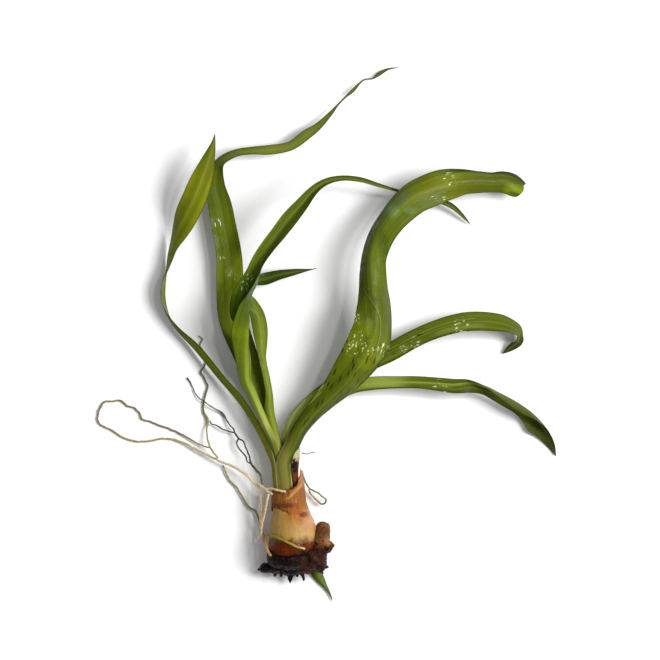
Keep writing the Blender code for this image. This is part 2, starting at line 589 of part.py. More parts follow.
def build_root(name, route, material):
    root = build_tube(name, route, material)
    for number, side_route in enumerate(SIDE_ROOTS.get(name, [])):
        side_root = build_tube(f"{name}_side_{number}", side_route, material)
        hide_cutter(side_root)
        join = root.modifiers.new(side_root.name, "BOOLEAN")
        join.operation = "UNION"
        join.object = side_root
    return root


def bulb_ring(y, sides, grow=0.0):
    """Points round the bulb at one y, from the half step past +Z, grown outwards."""
    stations = np.array(BULB_STATIONS)
    x, z, wide, high = (np.interp(y, stations[:, 0], stations[:, k]) for k in (1, 2, 3, 4))
    turns = (np.arange(sides) + 0.5) * 2 * math.pi / sides
    return [(x + (wide + grow) * math.sin(t), y, z + (high + grow) * math.cos(t)) for t in turns]


def build_bulb(name, material, grow=0.0):
    points = []
    for y, *_ in BULB_STATIONS:
        points += bulb_ring(y, BULB_SIDES, grow)
    return add_object(name, points, swept_faces(len(BULB_STATIONS), BULB_SIDES, False), material)


def edge_y(edge, angle):
    """The y of the tunic's hem or rim at an angle, smoothed between its given points."""
    angles = [a for a, _ in edge]
    heights = [y for _, y in edge]
    return float(np.mean([np.interp((angle + d + 180) % 360 - 180, angles, heights) for d in (-12, 0, 12)]))


def tunic_point(angle, y, grow):
    """A point over the bulb's skin. Past the shoulder the tunic stands up round the neck."""
    stations = np.array(BULB_STATIONS)
    shoulder = min(y, 18.5)
    x, z, wide, high = (np.interp(shoulder, stations[:, 0], stations[:, k]) for k in (1, 2, 3, 4))
    over = max(0.0, y - 18.5)
    x -= 0.03 * over
    turn = math.radians(angle)
    reach = 1.0 - 0.006 * over - 0.010 * max(0.0, over - 10.0)
    return (
        x + (wide * reach + grow) * math.sin(turn),
        y,
        z + (high * reach + grow) * math.cos(turn),
    )


def build_tunic(material):
    """A shell whose section runs up the outside from hem to rim and back down the inside."""
    levels = [0.0, 0.3, 0.6, 0.85, 1.0]
    outside = [(s, TUNIC_GAP + TUNIC_THICKNESS * (0.55 + 0.45 * min(1.0, 4 * s))) for s in levels]
    inside = [(s, TUNIC_GAP) for s in reversed(levels)]
    points = []
    for share, grow in outside + inside:
        for k in range(TUNIC_SIDES):
            angle = (k + 0.5) * 360 / TUNIC_SIDES - 180
            low, high = edge_y(TUNIC_HEM, angle), edge_y(TUNIC_RIM, angle)
            points.append(tunic_point(angle, low + share * (high - low), grow))
    faces = swept_faces(len(outside + inside), TUNIC_SIDES, False, closed=True)
    return add_object("tunic", points, faces, material)


def add_lump(work, place, radii):
    made = bmesh.ops.create_icosphere(work, subdivisions=2, radius=1.0)["verts"]
    for v in made:
        v.co = [(c + r * p) * MM for c, r, p in zip(place, radii, v.co)]


def add_stump(work, start, end, start_radius, end_radius):
    """A short tapered stub as a row of lumps from start to end."""
    start, end = np.array(start), np.array(end)
    steps = 6
    for k in range(steps + 1):
        share = k / steps
        radius = start_radius + share * (end_radius - start_radius)
        add_lump(work, start + share * (end - start), (radius, radius, radius))


def hide_cutter(cutter):
    cutter.hide_render = True
    cutter.display_type = "WIRE"


def build_basal_plate(material):
    """Lumps and stumps fused by a voxel remesh, with sockets for the bulb and the small leaf."""
    work = bmesh.new()
    for x, y, z, *radii in PLATE_LUMPS:
        add_lump(work, (x, y, z), radii)
    for stump in STUMPS:
        add_stump(work, *stump)
    mesh = bpy.data.meshes.new("basal_plate")
    work.to_mesh(mesh)
    work.free()
    mesh.materials.append(material)
    plate = bpy.data.objects.new("basal_plate", mesh)
    bpy.context.collection.objects.link(plate)
    fuse = plate.modifiers.new("fuse", "REMESH")
    fuse.mode = "VOXEL"
    fuse.voxel_size = PLATE_VOXEL * MM
    thin_out = plate.modifiers.new("thin_out", "DECIMATE")
    thin_out.ratio = 0.16

    bulb_cutter = build_bulb("bulb_cutter", material, SOCKET_GAP)
    leaf_cutter = build_leaf("leaf_cutter", [(*r[:3], r[3] + 1.2, *r[4:]) for r in BASAL_LEAF], 5.0, 0.3, 2.2, material)
    for cutter in (bulb_cutter, leaf_cutter):
        hide_cutter(cutter)
        cut = plate.modifiers.new(cutter.name, "BOOLEAN")
        cut.operation = "DIFFERENCE"
        cut.object = cutter
    return plate


def main():
    clear_scene()
    leaf_green = finish_material("leaf_green", (0.13, 0.22, 0.02), 0.3)
    bulb_cream = finish_material("bulb_cream", (0.62, 0.42, 0.17), 0.35)
    tunic_brown = finish_material("tunic_brown", (0.42, 0.17, 0.05), 0.5)
    plate_brown = finish_material("plate_brown", (0.06, 0.03, 0.02), 0.5)
    root_tan = finish_material("root_tan", (0.42, 0.30, 0.12), 0.5)

    build_bulb("bulb", bulb_cream)
    build_tunic(tunic_brown)
    build_basal_plate(plate_brown)
    build_leaves(leaf_green)
    build_leaf("dried_leaf_base", DRIED_BASE, 4.0, 0.2, 0.8, tunic_brown)
    for name, route in ROOTS.items():
        build_root(name, route, root_tan)


main()
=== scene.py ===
"""A water onion laid on its side as picked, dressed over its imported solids.

Every piece stands where its solid stands: seven strap leaves and one small leaf, the bulb, its torn
tunic, a dried leaf base, the basal plate and nine roots. The tables are in millimetres and degrees,
in the frame of the solids: +Y runs from the basal plate to the leaf tips and +Z is up.
"""

import math
import random

import bmesh
import bpy
import numpy as np
from mathutils import Matrix, Vector, noise


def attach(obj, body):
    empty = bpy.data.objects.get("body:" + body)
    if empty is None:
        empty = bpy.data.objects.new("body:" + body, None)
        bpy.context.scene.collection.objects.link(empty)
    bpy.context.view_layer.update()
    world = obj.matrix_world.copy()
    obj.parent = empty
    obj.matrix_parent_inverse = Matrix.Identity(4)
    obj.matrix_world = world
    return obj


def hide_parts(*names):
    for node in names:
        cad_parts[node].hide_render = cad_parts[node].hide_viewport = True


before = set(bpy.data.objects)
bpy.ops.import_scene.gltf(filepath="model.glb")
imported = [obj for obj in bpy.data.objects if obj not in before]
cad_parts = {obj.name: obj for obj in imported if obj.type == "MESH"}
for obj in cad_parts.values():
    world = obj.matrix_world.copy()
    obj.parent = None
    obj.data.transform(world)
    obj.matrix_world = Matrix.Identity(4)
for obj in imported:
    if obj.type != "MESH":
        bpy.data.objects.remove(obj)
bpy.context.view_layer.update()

MM = 0.001
FLOOR = 0.0

# The bulb's stations, as (y, middle x, middle z, half width, half height).
BULB_STATIONS = [
    (-19, -1, 14.5, 8, 8), (-17.5, -1, 14.6, 12.2, 12.2), (-13.5, -0.9, 14.9, 14.9, 14.6),
    (-8, -0.7, 14.9, 15.7, 15.2), (-3, -0.2, 14.9, 15.7, 15.25), (3, 0, 14.9, 15.1, 15.2),
    (8, -0.5, 14.9, 13.8, 13.8), (13.5, -1.6, 14.8, 12, 12), (18.5, -2.7, 14.7, 10.6, 10.6),
    (22.5, -3.6, 14.6, 9.4, 9.4), (24.8, -4.6, 14.6, 6.8, 6.8), (25.8, -5.8, 14.6, 2.9, 2.9),
    (38, -6.6, 15, 2.7, 2.7), (45, -7.2, 15.2, 2.3, 2.3), (48, -7.5, 15.3, 1.2, 1.2),
]
BULB_TOP = 25.8
SHOULDER_Y = 18.5
BULB_SIDES = 112
BULB_STEP = 0.5
DENT_DEPTH = 0.3

# The neck's axis and the two rings that the leaf bases stand in.
NECK_START = (-5.6, 26.6, 14.6)
NECK_END = (-8.0, 50.0, 15.4)
OUTER_RING = 6.6
INNER_RING = 4.4

# The tunic's hem and torn rim, as (angle round the bulb from +Z towards +X, y).
TUNIC_HEM = [
    (-180, 10), (-120, 11), (-70, 15.5), (-25, 14), (10, 9), (45, 7.5), (100, 9), (180, 10),
]
TUNIC_RIM = [
    (-180, 30), (-110, 29), (-60, 27.5), (0, 27), (30, 29.5), (58, 37), (88, 43), (125, 36), (180, 30),
]
TUNIC_GAP = 0.35
TUNIC_THICKNESS = 0.7
TUNIC_SIDES = 150
TUNIC_LEVELS = 34

# The blades: the steps along one and between its sections, the length that stays plain round the
# neck, and the thicknesses, with the fine midrib and ridges along it.
SAMPLE_STEP = 1.0
SECTION_STEP = 1.4
SHEATH_LENGTH = 20.0
SHEATH_SHARES = (0.0, 0.4, 0.75)
LEAF_COLUMNS = 25
BLADE_THICKNESS = 1.1
BLADE_THIN_END = 0.4
MARGIN_HALF_THICKNESS = 0.09
LEAST_WIDTH = 0.5
MIDRIB_HEIGHT = 0.1
MIDRIB_HALF_WIDTH = 1.1
RIDGE_HEIGHT = 0.05
# How far a blade's columns crowd towards its margins, from 0, not at all, to 1.
COLUMN_CROWDING = 0.92
TORN_SHARES = (0.2, 0.4, 0.6, 0.8, 0.94, 1.0)
TORN_DROOP = 0.05

# Each leaf: the place of its base in the neck as (angle, ring radius, width), how far its section is a
# V, and its stations as (x, y, z, width, roll, cup). They are those of the solids.
LEAVES = {
    "outer_left_leaf": (
        (-78, OUTER_RING, 9), 0.3,
        [
            (-17.7, 54, 13, 9, 68, -78), (-23.1, 64.8, 13.2, 10, 71, -82),
            (-35.6, 84.9, 12.2, 10.8, 72, -78), (-48.4, 100.1, 10.2, 11, 70, -72),
            (-66.6, 121.9, 8, 11, 73, -55), (-78.9, 135.2, 6.6, 11, 86, -32),
            (-84.7, 145.2, 6, 11.3, 100, -28), (-87.5, 155.7, 6.2, 12, 107, -28),
            (-86.6, 165.8, 6.8, 12.3, 102, -28), (-84.7, 172.5, 7.3, 12.6, 91, -28),
            (-83.4, 180.2, 8.2, 13.6, 78, -28), (-80.7, 190, 10.2, 14.8, 69, -28),
            (-76.2, 199.6, 13.2, 16.4, 50, -26), (-71.8, 208.6, 17, 17, 30, -22),
            (-66.7, 218.7, 21, 16.5, 13, -20), (-60.7, 233.3, 24, 14.5, 2, -20),
            (-55.6, 248, 25.5, 8.2, 0, -20), (-52.7, 258, 26, 2.8, 0, -20), (-51.6, 264.4, 26.2, 0, 0, -20),
        ],
    ),
    "tall_left_leaf": (
        (-157, OUTER_RING, 9), 0.2,
        [
            (-14.8, 64, 9.5, 9, 170, -75), (-22.7, 90.7, 8.5, 12, 178, -60),
            (-31.8, 117.3, 8.5, 16.8, 182, -48), (-40.3, 142, 9, 19.2, 184, -42),
            (-41.8, 162, 9.5, 18.8, 184, -40), (-42.5, 182, 10, 17.6, 180, -40),
            (-46, 202, 10, 16.8, 178, -40), (-48.9, 216.7, 10, 16.2, 178, -40),
            (-51.8, 229.3, 10, 13.6, 180, -40), (-50.8, 239.2, 11, 10.8, 202, -35),
            (-47.6, 245.2, 12.5, 9.4, 232, -30), (-41.8, 249, 13.5, 8.6, 238, -30),
            (-35, 251.4, 14, 7.6, 240, -25), (-28, 252.3, 14, 7.4, 240, -25),
            (-14, 253.4, 12.5, 7.2, 216, -25), (-2, 255.8, 11, 7.2, 222, -25),
            (9.5, 263.9, 9.4, 7, 210, -20), (15.5, 268, 8.6, 6, 220, -20), (21, 273.2, 7.8, 5, 232, -15),
            (26, 278.8, 7, 3.8, 244, -10), (30.5, 284.2, 6.2, 2.6, 262, -10),
            (35.5, 289.2, 5.4, 2.4, 255, -10), (40.5, 293.7, 4.6, 2.6, 225, -10),
            (43.8, 297.4, 4.1, 2.2, 250, -10), (48, 300.7, 3.6, 1.8, 262, -10),
            (53, 301.3, 3.2, 1.8, 250, -10), (58, 304.7, 2.8, 2.8, 220, -10),
            (63, 307.4, 2.3, 1.8, 235, -10), (71.2, 308.9, 1.8, 0, 240, -10),
        ],
    ),
    "arching_leaf": (
        (-46, INNER_RING, 7.2), 0.75,
        [
            (-12.7, 55.3, 18.8, 7, 30, -85), (-18.9, 70, 21, 8.3, 10, -100),
            (-27.3, 90, 22.8, 10.2, 0, -106), (-31.2, 100, 24, 12, -4, -110),
            (-31.4, 110, 25.5, 15, -12, -112), (-31, 120, 27.5, 18.5, -30, -114),
            (-29.8, 130, 29.5, 23, -54, -120), (-29.2, 140, 29, 25, -92, -132),
            (-29.4, 150, 27, 25, -118, -130), (-27.2, 158, 27.5, 23.5, -129, -123),
            (-23.9, 165.2, 28.8, 21, -133, -120), (-22.3, 171.6, 30, 18.5, -143, -124),
            (-21.2, 177.4, 31.2, 16.4, -155, -128), (-16.6, 187.3, 33, 16.4, -170, -130),
            (-10.1, 197.3, 34.5, 17.4, -180, -130), (-2.8, 206.8, 35.4, 17.4, -180, -124),
            (6.4, 217.3, 35.6, 15, -178, -130), (11.9, 224, 35.2, 12.6, -178, -138),
            (16.8, 228.5, 34.6, 10.8, -178, -144), (23.3, 231.9, 33.4, 9.2, -178, -148),
            (30, 233.5, 32, 8, -178, -150), (42.4, 233.1, 28.6, 7, -178, -145),
            (57.2, 229.1, 22.6, 5.2, -178, -145), (70, 225.7, 17.2, 3.6, -178, -145),
            (86, 222.2, 12.4, 4.4, -180, -130), (99.5, 218.6, 9.4, 5.8, -180, -122),
            (106, 215.4, 7.4, 5.6, -180, -120), (111, 211.3, 5.6, 4.2, -180, -118),
            (115, 207.4, 3.8, 2.6, -180, -110), (119, 203.3, 1.6, 0, -180, -100),
        ],
    ),
    "hooked_leaf": (
        (62, INNER_RING, 6.4), 0.2,
        [
            (-8.8, 55.5, 17.2, 6.4, -30, -75), (-13, 68.7, 16, 6.4, -16, -62),
            (-15.6, 80, 15.2, 6.9, -12, -55), (-15.4, 90, 15, 6.2, -35, -50),
            (-17.4, 102.5, 14.9, 6.4, -40, -45), (-19.9, 115, 14.8, 7.2, -46, -42),
            (-20.7, 124.5, 14.8, 9.2, -30, -40), (-21.6, 133.5, 14.9, 10.6, -18, -38),
            (-23.2, 143, 15, 10.8, -28, -35), (-26.6, 152, 14.6, 9.8, -52, -30),
            (-29.4, 159, 13.6, 9, -80, -25), (-27.8, 164.2, 13, 9, -80, -25),
            (-23.4, 166, 12.8, 9, -50, -28), (-18.6, 167.2, 12.8, 8.6, -26, -30),
            (-10, 169.8, 12.5, 6.8, -16, -28), (-1, 171.6, 11.8, 4.8, -12, -25),
            (6, 172.8, 11, 2.8, -10, -20), (11, 173.5, 10.5, 1.2, -10, -20), (16.2, 174.5, 10, 0, -10, -20),
        ],
    ),
    "broad_leaf": (
        (25, OUTER_RING, 13.6), 0.7,
        [
            (0, 55.3, 21.6, 12.5, -20, -98), (5.6, 66.6, 22.9, 13.6, -16, -104),
            (12.3, 75.2, 24.2, 15.2, -18, -104), (22.4, 85.5, 26, 19.2, -22, -90),
            (31, 93.6, 28, 23.8, -25, -80), (39.2, 103, 30.5, 28.4, -26, -70),
            (46.4, 113.1, 33, 31, -23, -60), (52.2, 125.6, 34.6, 31.5, -19, -54),
            (55.4, 137.9, 35.6, 29.8, -28, -62), (55, 149.5, 36.2, 27.2, -15, -90),
            (53, 160, 36.6, 25.8, 0, -118), (51.5, 171, 36.6, 24.5, 10, -118),
            (51.3, 180, 36.4, 23.5, 16, -118), (52.9, 188.6, 36.2, 23.8, 20, -118),
            (56.8, 198.3, 36.2, 24.2, 23, -111), (63.5, 207.8, 36.2, 24.6, 24, -99),
            (72, 216, 35.8, 24.8, 18, -85), (81.4, 222.7, 35, 24.8, 10, -71),
            (91, 226.6, 33.6, 24.6, 4, -61), (100, 229.7, 31.8, 23.4, 0, -60),
            (107, 231.1, 30, 21.8, -2, -64), (115, 232.2, 27.6, 19.5, -5, -82),
            (125, 232.5, 24, 17.4, 0, -92), (135, 232.3, 20, 16.2, 0, -98), (141, 232.6, 17.8, 16.9, 0, -85),
            (145.5, 231.5, 16, 16.8, 0, -64), (149.8, 229.7, 14.2, 16.2, 4, -42),
            (153, 229.3, 12.9, 13.2, 4, -36), (154.9, 229.5, 12.2, 8.4, 2, -28),
            (156.2, 230.6, 11.7, 0, 0, -20),
        ],
    ),
    "curled_right_leaf": (
        (180, INNER_RING, 7), 0.2,
        [
            (-5.2, 55.5, 11, 7.2, 180, -80), (-2.2, 65.8, 10.6, 9, 184, -70), (4, 76, 10.8, 10, 188, -60),
            (14.8, 86.6, 11.2, 11, 192, -50), (33, 99.6, 12.2, 12, 196, -45),
            (50, 110.8, 13.6, 12.4, 200, -42), (65.4, 118.4, 15.4, 13.4, 202, -40),
            (76.4, 124.4, 16.8, 13.4, 204, -40), (90.4, 131.2, 18.2, 13.4, 206, -40),
            (105.2, 136.2, 18.8, 14, 208, -40), (118, 138.4, 18.2, 14.6, 208, -40),
            (130, 138.5, 16.4, 14.4, 208, -38), (139.4, 137.2, 14.4, 13.8, 212, -36),
            (146, 134.8, 12.4, 12.6, 220, -32), (150.2, 131.8, 10, 11.4, 220, -28),
            (150.5, 127.6, 7.8, 8.8, 202, -26), (150, 125.2, 5.8, 8.6, 178, -24),
            (147.2, 122.9, 4.4, 6.6, 160, -22), (143.8, 120.3, 3.2, 4.2, 154, -20),
            (139.8, 117.3, 2, 0, 150, -20),
        ],
    ),
    "lower_right_leaf": (
        (125, OUTER_RING, 8.6), 0.6,
        [
            (-1, 55, 10.4, 8.8, -132, -80), (6.5, 65, 8.6, 9.4, -146, -80),
            (16.5, 79.4, 7.6, 10.4, -158, -85), (30, 89.6, 7.6, 11.4, -166, -95),
            (42, 95.2, 8.8, 11.8, -170, -102), (54, 97.1, 10.6, 11.8, -170, -104),
            (70, 97.8, 13, 10.8, -170, -104), (84, 97.9, 14.6, 10.8, -172, -104),
            (96, 97.6, 15.6, 11.2, -186, -98), (107, 97.1, 16, 12.5, -200, -94),
            (118, 98.3, 15.6, 14, -222, -95), (128.4, 95.6, 14.4, 13, -242, -98),
            (138, 91, 12.8, 14.6, -256, -104), (147, 86.3, 10.8, 16.2, -264, -112),
            (153.5, 82.3, 8.8, 16.4, -262, -116), (160, 77.2, 6.6, 18, -246, -118),
            (165.5, 71, 4.6, 20, -235, -116), (168.8, 65.4, 3.2, 14, -232, -100),
            (172.8, 57.4, 2.2, 8, -232, -70), (175.8, 48.5, 1.4, 0, -232, -40),
        ],
    ),
}

# Roots, as (x, y, z, thickness), from where each one starts.
ROOTS = {
    "long_looped_root": [
        (-17.8, -11, 7, 2), (-20.6, -2, 9.5, 2), (-21.6, 8, 11.5, 1.9), (-21.4, 18, 13, 1.9),
        (-22.4, 26.5, 13.5, 2), (-26.5, 32, 12.5, 2.1), (-31.5, 37, 10.5, 2), (-38.5, 41.5, 8, 1.9),
        (-48.5, 45.6, 5.6, 1.8), (-63.3, 52.8, 3.4, 1.7), (-78.2, 59.7, 1.8, 1.5), (-87.3, 60.8, 1.1, 1.4),
        (-94.2, 59.3, 1, 1.4), (-106, 59, 1, 1.4), (-113.3, 61.3, 1, 1.3), (-121.8, 66.7, 1, 1.3),
        (-128.2, 69.8, 1, 1.2), (-130.6, 73, 1, 1.2), (-130.2, 77, 1, 1.2), (-129, 81, 1, 1.3),
        (-126, 85.2, 1, 1.3), (-120.6, 85.6, 1, 1.2), (-115, 86, 1, 1.3), (-111.2, 82.8, 1, 1.3),
        (-105.8, 81, 1, 1.2), (-102.6, 77.8, 1, 1.2), (-101, 74, 1, 1.3), (-95.3, 72, 1, 1.2),
        (-89.3, 69.6, 1.1, 1.3), (-82.4, 67.2, 1.2, 1.2), (-71.4, 61.9, 1.8, 1.3), (-62.8, 57, 2.6, 1.2),
        (-56, 54.6, 5.2, 1),
    ],
    "upright_root": [
        (-50, 47.9, 7.6, 1.6), (-54.6, 53.8, 6.8, 1.5), (-57, 59.8, 5, 1.4), (-57.5, 68.2, 2.6, 1.4),
        (-57, 73.5, 1.5, 2.1), (-59.6, 78.8, 1.2, 1.5), (-59.6, 85.2, 1.2, 1.4), (-58, 91.6, 1.2, 1.4),
        (-57, 95.8, 1.2, 1.4), (-59.6, 101.2, 1.2, 1.3), (-61.7, 105.4, 1.1, 1.3), (-59, 110, 1, 1.2),
        (-58.4, 114.6, 1, 1.2), (-60.2, 119.4, 1, 1.1), (-62.2, 123, 0.9, 1.1), (-60.6, 127.6, 0.9, 1),
        (-63.3, 129.4, 0.9, 0.8),
    ],
    "forked_root": [
        (-20.2, 30.6, 17, 1.7), (-21.6, 36.3, 16, 1.9), (-24.6, 39.9, 14.5, 1.9), (-28, 44.6, 12.5, 1.6),
        (-29.4, 49.6, 10.5, 1.2), (-31.6, 55, 8.2, 1.1), (-33.6, 59.4, 6.8, 1.2), (-36.4, 61.2, 5.6, 1.4),
        (-38.8, 64.4, 4.4, 1.3), (-39.6, 66.8, 4, 1.1), (-42.8, 70.4, 3, 1.1), (-44.6, 73.2, 2, 1.2),
        (-46.4, 76.6, 1.4, 1.8), (-50.2, 79.6, 2.8, 1.1), (-54.6, 82.2, 3.6, 1), (-60.2, 86.2, 3.2, 0.9),
        (-63.6, 88.6, 1.8, 0.9), (-66, 92.4, 1, 0.8), (-68.2, 97.6, 0.8, 0.8), (-70.8, 101.4, 0.8, 1.2),
    ],
    "drooping_root": [
        (-19.4, -5.4, 4.6, 1.7), (-21.4, 1.6, 4, 1.7), (-23.2, 8, 3.4, 1.7), (-25.4, 12.4, 3, 1.7),
        (-29.2, 14.8, 2.6, 1.7), (-32.6, 19.6, 2.2, 1.6), (-34.8, 23.6, 1.9, 1.5), (-38.4, 28.9, 1.6, 1.4),
        (-42.6, 33.2, 1.5, 1.3), (-45.2, 38.6, 1.6, 1.3), (-47, 43, 1.8, 1.2),
    ],
    "side_root": [
        (-16.2, 24.2, 21.6, 1.9), (-18, 15.3, 18.6, 1.9), (-19.2, 9.5, 16.8, 1.8), (-20.8, 2.3, 15, 1.7),
        (-21.8, -4.2, 13.4, 1.6), (-24.2, -6.6, 12.6, 1.2),
    ],
    "crossing_root": [
        (-18.2, -2.7, 20.8, 1.9), (-13.6, -3.6, 25.4, 1.9), (-7.6, -5.6, 29.6, 1.9), (-1.6, -8.4, 31, 1.9),
        (3.6, -11, 30.2, 1.8), (7.9, -12, 29, 1.6),
    ],
    "short_root": [
        (-18.4, -5, 17.6, 1.9), (-17.8, -9.6, 18.6, 1.9), (-16.8, -13.4, 21.4, 2), (-14.8, -16.6, 24.8, 1.9),
    ],
    "right_looped_root": [
        (6, 39.4, 6, 1.1), (6.8, 36.2, 7.2, 1.2), (8.2, 32, 8.6, 1.3), (10, 28.8, 9.2, 1.3),
        (12.8, 26.6, 9, 1.3), (16.4, 24.7, 8.2, 1.3), (19.8, 22, 7.2, 1.3), (22.1, 19.4, 6.2, 1.3),
        (21.2, 17.4, 5.4, 1.3), (18.6, 17.3, 4.8, 1.3), (16.2, 19.2, 4.3, 1.3), (13.4, 22.2, 4, 1.3),
        (11.4, 24.6, 4.2, 1.5), (10.6, 26.8, 4.8, 1.2),
    ],
    "hair_root": [
        (5.8, 51.3, 15, 0.9), (8.6, 51, 15.2, 0.8), (10.2, 50.8, 15, 0.7), (12.6, 51.7, 14.6, 0.8),
        (15.3, 52, 14.2, 0.6),
    ],
}
# Side roots that grow out of a root, with the same columns.
SIDE_ROOTS = {
    "long_looped_root": [
        [(-26, 31.6, 12.8, 1.6), (-22.4, 30, 15.5, 1.7), (-18.4, 27.3, 18.6, 1.8), (-15.4, 25, 20.6, 1.8),
         (-13.4, 23.9, 21.6, 1.5)],
        [(-18.8, 27.6, 18.4, 1.5), (-14.2, 27.8, 21.6, 1.7), (-9.6, 26.8, 25.8, 1.8), (-4.8, 26, 27.8, 1.6)],
    ],
    "forked_root": [
        [(-38.6, 64.6, 4.4, 1.1), (-42, 65.4, 4.2, 1.1), (-46, 66.6, 3.8, 1.1), (-49.4, 68.4, 3.2, 1.3),
         (-52, 69.9, 3, 1), (-54.4, 70.6, 2.8, 1), (-55.6, 72.6, 2.8, 1)],
        [(-36.6, 60.4, 5.6, 1.1), (-37.6, 57.6, 5.2, 1.1), (-36.2, 54.4, 5.6, 1.1), (-33.6, 51.4, 6.6, 1.1),
         (-31.4, 48.6, 8.4, 1.1), (-30.6, 45.6, 10.4, 1.1), (-28.4, 44.4, 12.4, 1.1)],
    ],
}
ROOT_SIDES = 9
ROOT_STEP = 0.6
ROOT_SWAY = 0.34

# The basal plate: overlapping lumps as (x, y, z, radius x, radius y, radius z).
PLATE_LUMPS = [
    (-1.5, -19.5, 14.5, 16, 7.5, 13.5), (-12, -17, 14, 5.5, 8.5, 10), (-17.6, -25.6, 8.5, 5.2, 3.6, 5.4),
    (-11, -24.4, 9, 6.2, 4.8, 7.2), (-1.5, -26, 10, 7.6, 4.6, 8.6), (8, -24, 12.5, 7.5, 5.4, 8.5),
    (13.5, -17.5, 14, 9.5, 8.5, 11), (17.4, -22.5, 13.5, 5.4, 5.8, 6.5), (18.6, -4.5, 13, 6, 8.6, 8.6),
    (20, 0.4, 13.4, 4.9, 5.3, 6.2), (22.8, -10.6, 14.5, 4.2, 4.6, 4.8),
]
# Old root stumps on it, as (start, end, start radius, end radius).
STUMPS = [
    ((-19, -25.4, 8), (-22.6, -26.6, 7), 2.2, 0.9), ((-11.5, -27, 7), (-12, -30.6, 5.5), 2.2, 1.1),
    ((-1.5, -28, 9), (-1.8, -35.2, 7), 2.8, 0.8), ((5.4, -27.5, 9.5), (7.4, -33.6, 8), 1.8, 0.7),
    ((19, -23.5, 13), (22.6, -24.6, 12.5), 2, 1), ((17.4, -26, 12), (19.6, -28.6, 10.5), 1.9, 0.9),
    ((22, -10, 14), (26.6, -10.4, 14), 2.2, 0.9), ((4, -24, 4), (3, -31, 2.4), 2.2, 1),
    ((-7, -24, 16), (-8, -30, 17.5), 2, 1),
]
PLATE_VOXEL = 0.5
KNOB_HEIGHT = 0.75
PIT_DEPTH = 0.54

